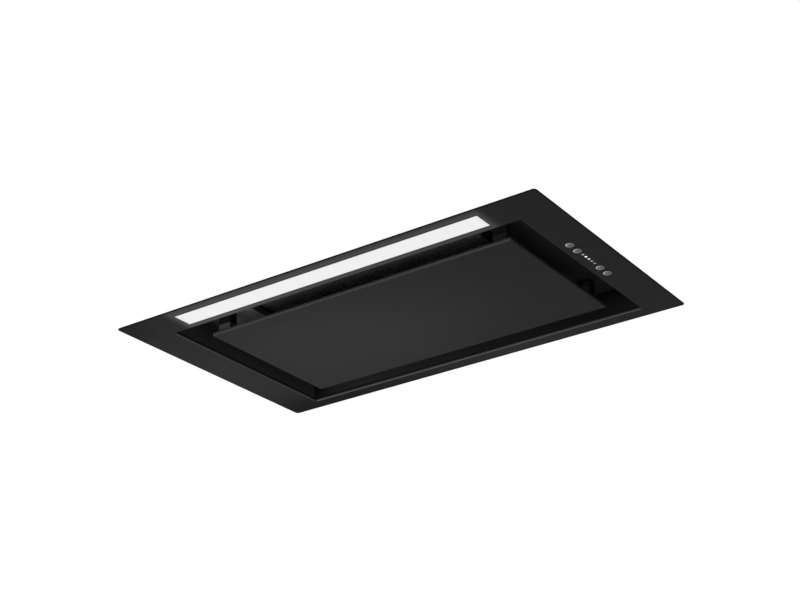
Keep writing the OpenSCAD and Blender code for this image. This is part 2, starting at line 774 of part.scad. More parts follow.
// Clevis that hangs from the support plate
module hinge_bracket() {
    for (s = [-1, 1])
        difference() {
            x0 = hinge_x + s * (clevis_half - fitting_t / 2) - fitting_t / 2;
            union() {
                block([x0, hinge_y - eye_r, hinge_z], [x0 + fitting_t, hinge_y + eye_r, support_z]);
                bar_x(eye_r, x0, x0 + fitting_t, hinge_y, hinge_z);
            }
            bar_x(hinge_pin_r, x0 - cut, x0 + fitting_t + cut, hinge_y, hinge_z);
        }
    block([hinge_x - clevis_half, hinge_y - eye_r, support_z - fitting_t],
        [hinge_x + clevis_half, hinge_y + eye_r, support_z]);
}

module hinge_brackets() color([0.6, 0.62, 0.63]) {
    hinge_bracket();
    mirror([1, 0, 0]) hinge_bracket();
}

module hinge_pin() {
    bar_x(hinge_pin_r, hinge_x - clevis_half - 1, hinge_x + clevis_half, hinge_y, hinge_z);
    bar_x(hinge_pin_r + 1.4, hinge_x + clevis_half, hinge_x + clevis_half + 1.2, hinge_y, hinge_z);
}

module hinge_pins() color([0.7, 0.7, 0.72]) {
    hinge_pin();
    mirror([1, 0, 0]) hinge_pin();
}

// Block under the support plate, right above the panel's bracket
module catch_housing() difference() {
    block([catch_x - catch_w / 2, catch_y, catch_h + magnet_gap],
        [catch_x + catch_w / 2, catch_y + catch_d, support_z]);
    magnet();
}

// Magnet, and the pocket that it fills
module magnet() {
    block([catch_x - magnet_w / 2, catch_y + fitting_t + 2, catch_h + magnet_gap],
        [catch_x + magnet_w / 2, catch_y + catch_d - 1.5, catch_h + magnet_gap + magnet_t]);
}

module catch_housings() color([0.07, 0.07, 0.07]) {
    catch_housing();
    mirror([1, 0, 0]) catch_housing();
}

module catch_magnets() color([0.35, 0.35, 0.37]) {
    magnet();
    mirror([1, 0, 0]) magnet();
}

// ---- push buttons ----

module control_carrier() color([0.08, 0.08, 0.08]) difference() {
    block([carrier_x0, -carrier_half, 0], [carrier_x1, carrier_half, carrier_h]);
    for (y = button_places()) {
        bar_z(button_head_r + 0.4, -cut, guide_z, button_x, y);
        bar_z(stem_r + stem_clear, 0, carrier_h + cut, button_x, y);
    }
    for (y = lens_places()) bar_z(lens_r + 0.1, -cut, carrier_h + cut, button_x, y);
}

// One button: domed cap, retaining collar and stem
module push_button(y) color([0.45, 0.45, 0.46]) translate([button_x, y, 0]) rotate_extrude() {
    z0 = plate_z - button_proud;
    dome = 0.35;
    polygon([
        [0, z0 - dome], [button_r * 0.35, z0 - dome * 0.9], [button_r * 0.65, z0 - dome * 0.55],
        [button_r * 0.88, z0], [button_r, z0 + dome], [button_r, button_rest],
        [button_head_r, button_rest], [button_head_r, button_rest + button_head_t],
        [stem_r, button_rest + button_head_t], [stem_r, stem_top], [0, stem_top]
    ]);
}

module light_button() push_button(button_places()[0]);
module stop_button() push_button(button_places()[1]);
module slower_button() push_button(button_places()[2]);
module faster_button() push_button(button_places()[3]);

module indicator_lenses() color([0.8, 0.8, 0.78])
    for (y = lens_places()) bar_z(lens_r, plate_z - 0.15, board_z, button_x, y);

// Switch bodies under the switch board, each with a well that takes a button's stem
module push_switches() color([0.16, 0.16, 0.17])
    for (y = button_places()) difference() {
        block([button_x - 4, y - 4, board_z - switch_h], [button_x + 4, y + 4, board_z]);
        bar_z(stem_r + 0.3, board_z - switch_h - cut, stem_top + button_travel + 0.5, button_x, y);
    }

module switch_board() color([0.05, 0.25, 0.12])
    block([carrier_x0 + 2.5, -carrier_half + 3, board_z],
        [carrier_x1 - 2.5, carrier_half - 3, board_z + board_t]);

module control_cover() color([0.08, 0.08, 0.08]) difference() {
    block([carrier_x0, -carrier_half, carrier_h], [carrier_x1, carrier_half, cover_h]);
    block([carrier_x0 + 1.5, -carrier_half + 1.5, carrier_h - cut],
        [carrier_x1 - 1.5, carrier_half - 1.5, board_z]);
    block([carrier_x0 + 2.5, -carrier_half + 3, board_z - cut],
        [carrier_x1 - 2.5, carrier_half - 3, cover_h - 1.5]);
    bar_z(lead_r, cover_h - 2 * cut, cover_h + cut, control_lead_x, control_lead_y);
}

module control_cable() color([0.15, 0.15, 0.15])
    bar_z(lead_r, board_z + board_t, roof_top + ebox_wall + 2, control_lead_x, control_lead_y);

// Grooved rubber ring in a sheet from z = 0 to z = case_t
module grommet() difference() {
    union() {
        translate([0, 0, -1.5]) cylinder(r = grommet_r, h = 1.5);
        cylinder(r = grommet_r - 1, h = case_t);
    }
    translate([0, 0, -2]) cylinder(r = lead_r, h = case_t + 4);
}

module cable_grommets() color([0.05, 0.05, 0.05]) {
    translate([lamp_lead_x, lamp_y, case_h]) grommet();
    translate([control_lead_x, control_lead_y, case_h]) grommet();
    translate([box_w / 2 - case_t, motor_lead_y, motor_lead_z[1]]) rotate([0, 90, 0]) grommet();
}

// ---- blower ----

// Points of the scroll from its tongue round to its outlet, grown by g
function spiral(g, first) = [
    for (a = [first:spiral_step:360]) let (r = tongue_r + growth * (a - tongue_a) + g)
        [axis_y + r * cos(a), axis_z + r * sin(a)]
];

module scroll_inside(top) {
    polygon(concat(spiral(0, tongue_a), [[axis_y + scroll_r, top], [axis_y + tongue_u, top]]));
}

module scroll_outside(g, top) {
    polygon(concat(spiral(g, tongue_a + spiral_step), [
        [axis_y + scroll_r + g, top], [axis_y + tongue_u - g, top],
        [axis_y + tongue_u - g, axis_z + tongue_v + 1.6 * g]
    ]));
}

module scroll_wrap() color([0.68, 0.7, 0.71])
    along_x(-scroll_w / 2, scroll_w / 2) difference() {
        scroll_outside(scroll_t, box_top);
        scroll_inside(box_top + cut);
    }

// Side plate of the scroll with its inlet ring, drawn for the right-hand side
module scroll_side() {
    x0 = scroll_w / 2;
    ring_l = (scroll_w - impeller_w) / 2 - 4;
    difference() {
        union() {
            along_x(x0, side_x) scroll_outside(scroll_t + 4, box_top);
            bar_x(inlet_r + scroll_t, x0 - ring_l, side_x + 2, axis_y, axis_z);
            // foot against the lid
            block([x0, axis_y + tongue_u, box_top - scroll_t],
                [blower_screw_x + 6, axis_y + scroll_r, box_top]);
        }
        bar_x(inlet_r, x0 - ring_l - cut, side_x + 3, axis_y, axis_z);
        for (y = blower_screw_y()) bar_z(screw_r, box_top - 3, box_top + cut, blower_screw_x, y);
        children();
    }
}
function blower_screw_y() = [axis_y + tongue_u + 12, axis_y + scroll_r - 12];

module scroll_side_left() color([0.68, 0.7, 0.71]) mirror([1, 0, 0]) scroll_side();

module scroll_side_right() color([0.68, 0.7, 0.71]) scroll_side()
    bush_places() bar_x(screw_r, scroll_w / 2 - cut, side_x + cut, 0, 0);

module impeller() color([0.12, 0.12, 0.13]) translate([0, axis_y, axis_z]) rotate([0, 90, 0]) {
    ring_t = 2.5;
    difference() {
        union() {
            translate([0, 0, -1.5]) cylinder(r = impeller_r, h = 3);
            translate([0, 0, hub_x0]) cylinder(r = shaft_r + 5, h = 14);
            for (z = [-impeller_w / 2, impeller_w / 2 - ring_t])
                translate([0, 0, z]) difference() {
                    cylinder(r = impeller_r, h = ring_t);
                    translate([0, 0, -cut]) cylinder(r = impeller_r - 8, h = ring_t + 2 * cut);
                }
            translate([0, 0, -impeller_w / 2]) linear_extrude(impeller_w)
                for (i = [0:blade_count - 1])
                    rotate(i * 360 / blade_count) translate([impeller_r - blade_l / 2, 0]) rotate(blade_angle)
                        square([blade_l, 1], center = true);
        }
        translate([0, 0, hub_x0 - cut]) cylinder(r = shaft_r, h = 16);
    }
}

module motor_shaft() color([0.75, 0.75, 0.77])
    bar_x(shaft_r, hub_x0 - clip_t - 2, motor_x1 + bell_t + bearing_w + 1, axis_y, axis_z);

module shaft_clip() color([0.3, 0.3, 0.32]) difference() {
    bar_x(shaft_r + 4, hub_x0 - clip_t, hub_x0, axis_y, axis_z);
    bar_x(shaft_r, hub_x0 - clip_t - cut, hub_x0 + cut, axis_y, axis_z);
}

module motor_rotor() color([0.5, 0.5, 0.52]) difference() {
    bar_x(rotor_r, motor_x0 + 16, motor_x1 - 12, axis_y, axis_z);
    bar_x(shaft_r, motor_x0, motor_x1, axis_y, axis_z);
}

// Laminated ring with the bulge of the windings at both ends
module motor_stator() color([0.55, 0.33, 0.18]) difference() {
    union() {
        bar_x(motor_r - motor_wall, motor_x0 + 16, motor_x1 - 12, axis_y, axis_z);
        bar_x(motor_r - motor_wall - 4, motor_x0 + 12, motor_x1 - 8, axis_y, axis_z);
    }
    bar_x(rotor_r + air_gap, motor_x0, motor_x1, axis_y, axis_z);
}

module motor_housing() color([0.3, 0.31, 0.32]) difference() {
    bar_x(motor_r, motor_x0, motor_x1, axis_y, axis_z);
    difference() {
        bar_x(motor_r - motor_wall, motor_x0 + 2, motor_x1 + cut, axis_y, axis_z);
        bar_x(bearing_r + 2, motor_x0, motor_x0 + 2 + bearing_w, axis_y, axis_z);
    }
    bar_x(bearing_r, motor_x0 + 2, motor_x0 + bearing_w + 4, axis_y, axis_z);
    bar_x(shaft_r + 1, motor_x0 - cut, motor_x0 + 3, axis_y, axis_z);
}

module motor_end_bell() color([0.33, 0.34, 0.35]) difference() {
    union() {
        bar_x(motor_r, motor_x1, motor_x1 + 2, axis_y, axis_z);
        bar_x(bearing_r + 2, motor_x1, motor_x1 + bell_t + bearing_w, axis_y, axis_z);
    }
    bar_x(bearing_r, motor_x1 + bell_t, motor_x1 + bell_t + bearing_w + cut, axis_y, axis_z);
    bar_x(shaft_r + 1, motor_x1 - cut, motor_x1 + bell_t + cut, axis_y, axis_z);
    bar_x(lead_r, motor_x1 - cut, motor_x1 + 3, motor_lead_y, motor_lead_z[0]);
}

module motor_bearings() color([0.7, 0.7, 0.72])
    for (x = [motor_x0 + 2, motor_x1 + bell_t]) difference() {
        bar_x(bearing_r, x, x + bearing_w, axis_y, axis_z);
        bar_x(shaft_r + shaft_clear, x - cut, x + bearing_w + cut, axis_y, axis_z);
    }

// The children at each of the motor's three rubber bushes
module bush_places()
    for (a = bush_angles)
        translate([0, axis_y + bush_pcr * cos(a), axis_z + bush_pcr * sin(a)]) children();

// Ring round the motor with three arms out to the bushes
module motor_spider() color([0.6, 0.62, 0.63]) {
    difference() {
        union() {
            bar_x(motor_r + 3, motor_x1 - 6, bush_x[2], axis_y, axis_z);
            intersection() {
                bar_x(bush_pcr, bush_x[1], bush_x[2], axis_y, axis_z);
                for (a = bush_angles)
                    translate([0, axis_y, axis_z]) rotate([a, 0, 0])
                        block([0, motor_r, -arm_half], [bush_x[3], 2 * bush_pcr, arm_half]);
            }
            bush_places() bar_x(bush_neck_r + 3.5, bush_x[1], bush_x[2], 0, 0);
        }
        bar_x(motor_r, motor_x1 - 7, bush_x[2] + cut, axis_y, axis_z);
        bush_places() bar_x(bush_neck_r, bush_x[1] - cut, bush_x[2] + cut, 0, 0);
    }
}

module motor_bushes() color([0.06, 0.06, 0.06]) bush_places() difference() {
    union() {
        bar_x(bush_r, bush_x[0], bush_x[1], 0, 0);
        bar_x(bush_neck_r, bush_x[1], bush_x[2], 0, 0);
        bar_x(bush_r, bush_x[2], bush_x[3], 0, 0);
    }
    bar_x(screw_r, bush_x[0] - cut, bush_x[3] + cut, 0, 0);
}

module motor_screws() color([0.7, 0.7, 0.72]) bush_places()
    translate([bush_x[3], 0, 0]) rotate([0, 90, 0]) screw(bush_x[3] - scroll_w / 2 + 3);

// Lead from the motor, in two bends, through the box wall to the electronics box
module motor_cable() color([0.15, 0.15, 0.15]) translate([0, motor_lead_y, 0]) {
    bar_x(lead_r, motor_x1, motor_lead_x - bend_r, 0, motor_lead_z[0]);
    translate([motor_lead_x - bend_r, 0, motor_lead_z[0] - bend_r]) rotate([90, 0, 0])
        rotate_extrude(angle = 90) translate([bend_r, 0]) circle(lead_r);
    bar_z(lead_r, motor_lead_z[1] + bend_r, motor_lead_z[0] - bend_r, motor_lead_x, 0);
    translate([motor_lead_x + bend_r, 0, motor_lead_z[1] + bend_r]) rotate([90, 0, 0])
        rotate([0, 0, 180]) rotate_extrude(angle = 90) translate([bend_r, 0]) circle(lead_r);
    bar_x(lead_r, motor_lead_x + bend_r, ebox_x0 + ebox_wall + 2, 0, motor_lead_z[1]);
}

// ---- outlet ----

module collar_screw_places()
    for (i = [0:collar_holes - 1])
        translate([0, collar_y, 0]) rotate(45 + i * 360 / collar_holes)
            translate([collar_r + collar_flange / 2, 0, 0]) children();

module outlet_collar() color([0.14, 0.14, 0.15]) difference() {
    inner = collar_r - collar_wall;
    union() {
        bar_z(collar_r + collar_flange, lid_top, lid_top + collar_base_t, 0, collar_y);
        bar_z(collar_r, lid_top, lid_top + collar_h, 0, collar_y);
    }
    // bore above and below the ring that the flaps rest on
    bar_z(inner, flap_z - 0.3, lid_top + collar_h + cut, 0, collar_y);
    bar_z(inner - 3, lid_top - cut, flap_z, 0, collar_y);
    bar_z(inner, lid_top - cut, flap_z - 0.3 - stop_t, 0, collar_y);
    bar_x(spindle_r, -collar_r - cut, collar_r + cut, collar_y, spindle_h);
    collar_screw_places() bar_z(screw_r, lid_top - cut, lid_top + collar_base_t + cut, 0, 0);
}

module flap_spindle() color([0.72, 0.72, 0.74])
    bar_x(spindle_r, -collar_r + 0.2, collar_r - 0.2, collar_y, spindle_h);

// The far flap: half a disc with two knuckles, and notches for the other flap's knuckles
module flap() difference() {
    union() {
        intersection() {
            bar_z(flap_r, flap_z, flap_z + flap_t, 0, 0);
            block([-collar_r, flap_split, flap_z - cut], [collar_r, collar_r, flap_z + flap_t + cut]);
        }
        for (x = [knuckle_x0, knuckle_x0 + 2 * knuckle_pitch])
            bar_x(knuckle_r, x, x + knuckle_l, 0, spindle_h);
        // stiffening rib
        block([-1.5, knuckle_r + 9, flap_z], [1.5, flap_r - 6, flap_z + flap_t + 3]);
    }
    for (x = [-knuckle_x0 - knuckle_l - 2 * knuckle_pitch, -knuckle_x0 - knuckle_l])
        block([x - 0.5, -cut, flap_z - cut], [x + knuckle_l + 0.5, knuckle_r + 0.6, flap_z + flap_t + cut]);
    bar_x(spindle_r + spindle_clear, -collar_r, collar_r, 0, spindle_h);
}

module far_flap() color([0.2, 0.2, 0.21]) translate([0, collar_y, 0]) flap();
module near_flap() color([0.2, 0.2, 0.21]) translate([0, collar_y, 0]) rotate(180) flap();

// ---- electronics ----

module electronics_box() color([0.2, 0.2, 0.21]) difference() {
    block([ebox_x0, ebox_near, roof_top], [ebox_x1, ebox_far, ebox_top - ebox_wall]);
    block([ebox_x0 + ebox_wall, ebox_near + ebox_wall, roof_top + ebox_wall],
        [ebox_x1 - ebox_wall, ebox_far - ebox_wall, ebox_top]);
    bar_y(gland_tube_r, ebox_far - 2 * ebox_wall, ebox_far + cut, gland_x, gland_z);
    bar_x(lead_r, ebox_x0 - cut, ebox_x0 + 2 * ebox_wall, motor_lead_y, motor_lead_z[1]);
    bar_y(lead_r, ebox_near - cut, ebox_near + 2 * ebox_wall, driver_lead_x, driver_lead_z);
    bar_z(lead_r, roof_top - cut, roof_top + 2 * ebox_wall, control_lead_x, control_lead_y);
}

module electronics_cover() color([0.2, 0.2, 0.21]) {
    block([ebox_x0, ebox_near, ebox_top - ebox_wall], [ebox_x1, ebox_far, ebox_top]);
    // lip inside the box
    translate([(ebox_x0 + ebox_x1) / 2, (ebox_near + ebox_far) / 2, 0])
        frame_ring(ebox_w - 2 * ebox_wall, ebox_d - 2 * ebox_wall, 1.5,
            ebox_top - ebox_wall - 4, ebox_top - ebox_wall + 0.5);
}

// Board on four posts, with its transformer, three relays and terminal block
module control_board() color([0.07, 0.3, 0.16]) {
    x0 = ebox_x0 + 7;
    x1 = ebox_x1 - 20;
    y0 = ebox_near + 8;
    y1 = ebox_far - 12;
    top = pcb_z + board_t;
    post_r = 3;
    inset = 4;                 // from the board's edge to a post, and to the parts on the board
    transformer = [28, 32, 20];
    relay = [19, 10, 14];
    relay_pitch = 14;
    relay_y = y0 + 74;
    terminals = [30, 10, 9];
    block([x0, y0, pcb_z], [x1, y1, top]);
    for (x = [x0 + inset, x1 - inset], y = [y0 + inset, y1 - inset])
        bar_z(post_r, roof_top + ebox_wall, pcb_z + board_t / 2, x, y);
    translate([x0 + inset, y0 + 2 * inset, top - board_t / 2])
        cube(transformer + [0, 0, board_t / 2]);
    for (i = [0:2])
        translate([x0 + inset, relay_y + i * relay_pitch, top - board_t / 2])
            cube(relay + [0, 0, board_t / 2]);
    translate([x0 + inset, y1 - terminals[1] - 2, top - board_t / 2])
        cube(terminals + [0, 0, board_t / 2]);
}

module run_capacitor() color([0.8, 0.8, 0.78])
    bar_y(capacitor_r, ebox_near + 20, ebox_near + 20 + capacitor_l,
        ebox_x1 - ebox_wall - capacitor_r, roof_top + ebox_wall + capacitor_r);

// Hexagonal gland with a threaded tube through the far wall of the electronics box
module cable_gland() color([0.12, 0.12, 0.12]) difference() {
    union() {
        bar_y(gland_tube_r, ebox_far - ebox_wall - 5, ebox_far + 12, gland_x, gland_z);
        for (y = [ebox_far - ebox_wall - 4, ebox_far])
            translate([gland_x, y, gland_z]) rotate([-90, 0, 0]) cylinder(r = gland_nut_r, h = 4, $fn = 6);
        // ribbed cap nut
        bar_y(gland_nut_r - 1.5, ebox_far + 4 + cut, ebox_far + 18, gland_x, gland_z);
    }
    bar_y(cable_r, ebox_far - 20, ebox_far + 20, gland_x, gland_z);
}

// Every plain fastener of the body
module body_screws() color([0.75, 0.76, 0.77]) {
    for (p = foot_screws()) translate([p[0], p[1], roof_top + case_t]) screw(foot_screw_l);
    for (p = roof_screws()) translate([p[0], p[1], roof_top]) screw(roof_screw_l);
    for (s = [-1, 1], y = blower_screw_y())
        translate([s * blower_screw_x, y, lid_top]) screw(blower_screw_l);
    collar_screw_places() translate([0, 0, lid_top + collar_base_t]) screw(collar_screw_l);
    for (s = [-1, 1], y = [-1, 1])
        translate([s * (case_w / 2 + 1), y * spring_w / 4, spring_screw_z])
            rotate([0, s * 90, 0]) screw(spring_screw_l);
}

face_plate();
lower_casing();
casing_roof();
motor_box();
motor_box_lid();
fixing_springs();
support_plate();
filter_frame();
filter_mesh();
filter_latch();
lamp_diffuser();
lamp_housing();
led_board();
led_chips();
led_driver();
lamp_cable();
suction_panel();
panel_stiffener();
panel_catch_brackets();
panel_hinge_ears();
hinge_brackets();
hinge_pins();
catch_housings();
catch_magnets();
control_carrier();
light_button();
stop_button();
slower_button();
faster_button();
indicator_lenses();
push_switches();
switch_board();
control_cover();
control_cable();
cable_grommets();
scroll_wrap();
scroll_side_left();
scroll_side_right();
impeller();
motor_shaft();
shaft_clip();
motor_rotor();
motor_stator();
motor_housing();
motor_end_bell();
motor_bearings();
motor_spider();
motor_bushes();
motor_screws();
motor_cable();
outlet_collar();
flap_spindle();
near_flap();
far_flap();
electronics_box();
electronics_cover();
control_board();
run_capacitor();
cable_gland();
body_screws();
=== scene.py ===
# %% [markdown]
# # Ceiling range hood
# This hood sits in a cut-out in a ceiling. From the kitchen only its thin black face plate shows, with a
# lamp strip, a suction panel that hangs on a hinge, and four push buttons. Everything above the ceiling is
# galvanised sheet: a casing, a blower with its motor, and a round outlet with two flaps.
#
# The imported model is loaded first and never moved, and the main sizes are read from it. The rest of the
# script gives each piece its finish and adds the small forms that only a mesh can carry well. Lengths are
# in metres. A length that is easier to read in millimetres is multiplied by MM, or its comment says so.

import json
import math

import bmesh
import bpy
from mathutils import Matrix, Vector


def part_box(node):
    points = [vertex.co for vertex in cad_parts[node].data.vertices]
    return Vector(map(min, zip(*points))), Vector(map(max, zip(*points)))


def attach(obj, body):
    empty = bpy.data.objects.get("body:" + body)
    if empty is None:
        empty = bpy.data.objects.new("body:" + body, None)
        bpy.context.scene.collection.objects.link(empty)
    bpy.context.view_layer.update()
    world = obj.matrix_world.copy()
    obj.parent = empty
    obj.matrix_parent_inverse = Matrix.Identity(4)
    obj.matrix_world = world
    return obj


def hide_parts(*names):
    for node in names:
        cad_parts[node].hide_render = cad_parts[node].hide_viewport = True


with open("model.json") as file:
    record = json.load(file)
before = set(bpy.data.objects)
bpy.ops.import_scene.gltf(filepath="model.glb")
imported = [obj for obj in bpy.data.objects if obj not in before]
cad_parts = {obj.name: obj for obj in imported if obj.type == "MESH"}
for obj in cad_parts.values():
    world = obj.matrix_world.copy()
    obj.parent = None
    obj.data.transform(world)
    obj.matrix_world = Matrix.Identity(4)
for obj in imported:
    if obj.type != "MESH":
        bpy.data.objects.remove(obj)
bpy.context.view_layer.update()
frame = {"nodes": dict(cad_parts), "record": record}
MM = 0.001
nodes = frame["nodes"]
scene = bpy.context.scene

# %% [markdown]
# ## Camera
# The hood is seen by someone who stands below it and looks up at its underside. A wide lens close by would
# make the near corner loom, so a long lens from further off keeps the plate's edges nearly parallel. The
# camera is turned a little about its own axis, as a hand would hold it.

# %% Camera
EYE = Vector((0.8868, -1.3280, -0.7258))
TILT, ROLL, TURN = 115.023, 1.469, 34.372
SENSOR_WIDTH, FOCAL_LENGTH = 36, 73.70

lens = bpy.data.cameras.new("camera")
lens.sensor_width = SENSOR_WIDTH
lens.lens = FOCAL_LENGTH
camera = bpy.data.objects.new("camera", lens)
scene.collection.objects.link(camera)
camera.location = EYE
camera.rotation_euler = [math.radians(angle) for angle in (TILT, ROLL, TURN)]
scene.camera = camera
scene.view_settings.view_transform = "Standard"
print("camera", round(EYE.length, 3), "m away")

# %% [markdown]
# ## Shader maths
# A finish is easier to read as an expression than as a list of nodes and links. The class `Value` wraps one
# output socket, and its operators add the Math nodes. The reflected forms let a number stand first, as in
# `1 - mask`. Numbers alone never become nodes, because Python works them out.

# %% Wrap a socket
def arithmetic(operation, reflected=False):
    """A method that joins a value with another one, or with a number, by one Math node."""
    def method(self, other):
        pair = (other, self) if reflected else (self, other)
        return self.nodes.make("ShaderNodeMath", {"operation": operation}, dict(enumerate(pair)))
    return method


class Value:
    """One output socket of a node."""

    def __init__(self, nodes, socket):
        self.nodes = nodes
        self.socket = socket

    __add__ = arithmetic("ADD")
    __radd__ = arithmetic("ADD", True)
    __sub__ = arithmetic("SUBTRACT")
    __rsub__ = arithmetic("SUBTRACT", True)
    __mul__ = arithmetic("MULTIPLY")
    __rmul__ = arithmetic("MULTIPLY", True)
    __truediv__ = arithmetic("DIVIDE")
    __rtruediv__ = arithmetic("DIVIDE", True)
    __pow__ = arithmetic("POWER")
    __rpow__ = arithmetic("POWER", True)
    __lt__ = arithmetic("LESS_THAN")
    __gt__ = arithmetic("GREATER_THAN")
    larger = arithmetic("MAXIMUM")
    smaller = arithmetic("MINIMUM")

    def __abs__(self):
        return self.nodes.make("ShaderNodeMath", {"operation": "ABSOLUTE"}, {0: self})

    def sine(self):
        return self.nodes.make("ShaderNodeMath", {"operation": "SINE"}, {0: self})

    def bell(self, width):
        """1 where the value is 0, falling off smoothly on both sides over this width."""
        scaled = self / width
        return self.nodes.make("ShaderNodeMath", {"operation": "EXPONENT"}, {0: scaled * scaled * -1})

    def output(self, name):
        """Another output of the same node."""
        return Value(self.nodes, self.socket.node.outputs[name])


# %% [markdown]
# A node takes several lines by hand: make it, set it up, link its sockets. `Nodes.make` does all three for
# any kind of node. The settings come first, because some of them change which sockets the node has. The
# short methods below it name what the finishes use again and again. The Mix node has a set of sockets for
# each kind of data, all with the same names, so the ones for colours are picked by their number.

# %% Make nodes
MIX_FACTOR, MIX_A, MIX_B, MIX_RESULT = 0, 6, 7, 2


class Nodes:
    """The node tree of a material or of the world."""

    def __init__(self, tree):
        self.tree = tree
        tree.nodes.clear()

    def put(self, socket, value):
        """Links a value to the socket, or sets a plain number, colour or vector on it."""
        if isinstance(value, Value):
            self.tree.links.new(value.socket, socket)
        else:
            socket.default_value = value

    def make(self, kind, settings=None, inputs=None, out=0):
        """Adds a node, sets its settings first, then links or sets its inputs."""
        node = self.tree.nodes.new(kind)
        for name, value in (settings or {}).items():
            setattr(node, name, value)
        for key, value in (inputs or {}).items():
            self.put(node.inputs[key], value)
        return Value(self, node.outputs[out]) if node.outputs else node

    def place(self):
        """The point on the surface, in metres, in the piece's own frame."""
        return self.make("ShaderNodeTexCoord", out="Object")

    def split(self, vector):
        """The three components of a vector."""
        x = self.make("ShaderNodeSeparateXYZ", inputs={0: vector})
        return x, x.output("Y"), x.output("Z")

    def vector(self, operation, a, b):
        return self.make("ShaderNodeVectorMath", {"operation": operation}, {0: a, 1: b})

    def noise(self, size, detail=2.0, stretch=(1, 1, 1)):
        """Noise from 0 to 1 with lumps of about this size."""
        place = self.vector("MULTIPLY", self.place(), [s / size for s in stretch])
        return self.make("ShaderNodeTexNoise", inputs={"Vector": place, "Scale": 1.0, "Detail": detail})

    def cells(self, size, feature="F1", out="Distance"):
        """Voronoi cells of about this size."""
        settings = {"feature": feature}
        return self.make("ShaderNodeTexVoronoi", settings, {"Vector": self.place(), "Scale": 1 / size}, out)

    def mix(self, factor, a, b):
        """The colour a where factor is 0, and b where it is 1."""
        colours = {MIX_FACTOR: factor, MIX_A: a, MIX_B: b}
        return self.make("ShaderNodeMix", {"data_type": "RGBA"}, colours, out=MIX_RESULT)


def rgb(*levels):
    """A colour from one grey level or from three levels."""
    return (*(levels * 3)[:3], 1)


# %% [markdown]
# Every finish of the hood is one Principled shader. What is the same all over is a plain number on its
# socket, and what varies is linked to it. Grain and orange peel could be modelled, but would take millions
# of faces. A Bump node tilts the shading instead, and a Bevel node before it rounds the look of an edge.

# %% Make a surface
BEVEL_SAMPLES = 4


class Surface(Nodes):
    """A Principled material. A plain number sits on its socket, and what varies is linked to it."""

    def __init__(self, name, **plain):
        self.material = bpy.data.materials.new(name)
        self.material.use_nodes = True
        super().__init__(self.material.node_tree)
        self.shader = self.tree.nodes.new("ShaderNodeBsdfPrincipled")
        end = self.tree.nodes.new("ShaderNodeOutputMaterial")
        self.tree.links.new(self.shader.outputs[0], end.inputs["Surface"])
        self.set(**plain)

    def set(self, **sockets):
        for name, value in sockets.items():
            self.put(self.shader.inputs[name.replace("_", " ")], value)

    def relief(self, height, depth, edge=0.0):
        """Bumps of this depth, on edges that look rounded by the radius edge."""
        inputs = {"Height": height, "Distance": depth, "Strength": 1.0}
        if edge:
            inputs["Normal"] = self.make("ShaderNodeBevel", {"samples": BEVEL_SAMPLES}, {"Radius": edge})
        self.set(Normal=self.make("ShaderNodeBump", inputs=inputs))


# %% [markdown]
# ## Backdrop, floor and light
# The ceiling round the plate is plain white, so a sheet of it lies just above the flange, with a hole for
# the casing. The floor is a room's height below. Both are flat, so four corners and one face make the floor,
# and a ring of four faces makes the ceiling. Neither is part of the hood.

# %% Ceiling and floor
CEILING_GAP = 0.2 * MM
CEILING_HALF = 6.0
FLANGE_LAP = 5 * MM
FLOOR_Z = -2.5
FLOOR_HALF = 12.0


def flat_mesh(name, corners, faces):
    mesh = bpy.data.meshes.new(name)
    mesh.from_pydata(corners, [], faces)
    thing = bpy.data.objects.new(name, mesh)
    scene.collection.objects.link(thing)
    return thing


def square(half_x, half_y, z):
    return [(sx * half_x, sy * half_y, z) for sx, sy in ((-1, -1), (1, -1), (1, 1), (-1, 1))]


plate_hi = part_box("face_plate")[1]
outline = square(CEILING_HALF, CEILING_HALF, CEILING_GAP)
hole = square(plate_hi.x - FLANGE_LAP, plate_hi.y - FLANGE_LAP, CEILING_GAP)
count = len(outline)
sides = [(i, (i + 1) % count, (i + 1) % count + count, i + count) for i in range(count)]
ceiling = flat_mesh("ceiling", outline + hole, sides)
floor = flat_mesh("floor", square(FLOOR_HALF, FLOOR_HALF, FLOOR_Z), [(0, 1, 2, 3)])
print("ceiling", CEILING_GAP / MM, "mm above the flange, floor at", FLOOR_Z, "m")

# %% [markdown]
# A plain white ceiling would hide the upper parts and keep the lamps off them. So it shows only to the
# camera and only from below, by a mix of white light and a transparent shader. The floor is pale and a
# little cloudy, and it takes the hood's soft shadow.

# %% Finish of the ceiling and the floor
FLOOR_LIGHT, FLOOR_DARK = 0.8, 0.76
FLOOR_CLOUD, FLOOR_CLOUD_SHARE = 0.6, 0.4

ceiling_material = bpy.data.materials.new("ceiling_white")
ceiling_material.use_nodes = True
shade = Nodes(ceiling_material.node_tree)
from_below = shade.make("ShaderNodeNewGeometry", out="Backfacing")
shown = from_below * shade.make("ShaderNodeLightPath", out="Is Camera Ray")
clear = shade.make("ShaderNodeBsdfTransparent")
white = shade.make("ShaderNodeEmission", inputs={"Color": rgb(1.0), "Strength": 1.0})
shade.make("ShaderNodeOutputMaterial", inputs={
    "Surface": shade.make("ShaderNodeMixShader", inputs={0: shown, 1: clear, 2: white})})
ceiling.data.materials.append(ceiling_material)

floor_finish = Surface("floor_pale", Roughness=0.9, Specular_IOR_Level=0.1)
cloud = floor_finish.noise(FLOOR_CLOUD) * FLOOR_CLOUD_SHARE
floor_finish.set(Base_Color=floor_finish.mix(cloud, rgb(FLOOR_LIGHT), rgb(FLOOR_DARK)))
floor.data.materials.append(floor_finish.material)
print("floor tone from", FLOOR_DARK, "to", FLOOR_LIGHT)

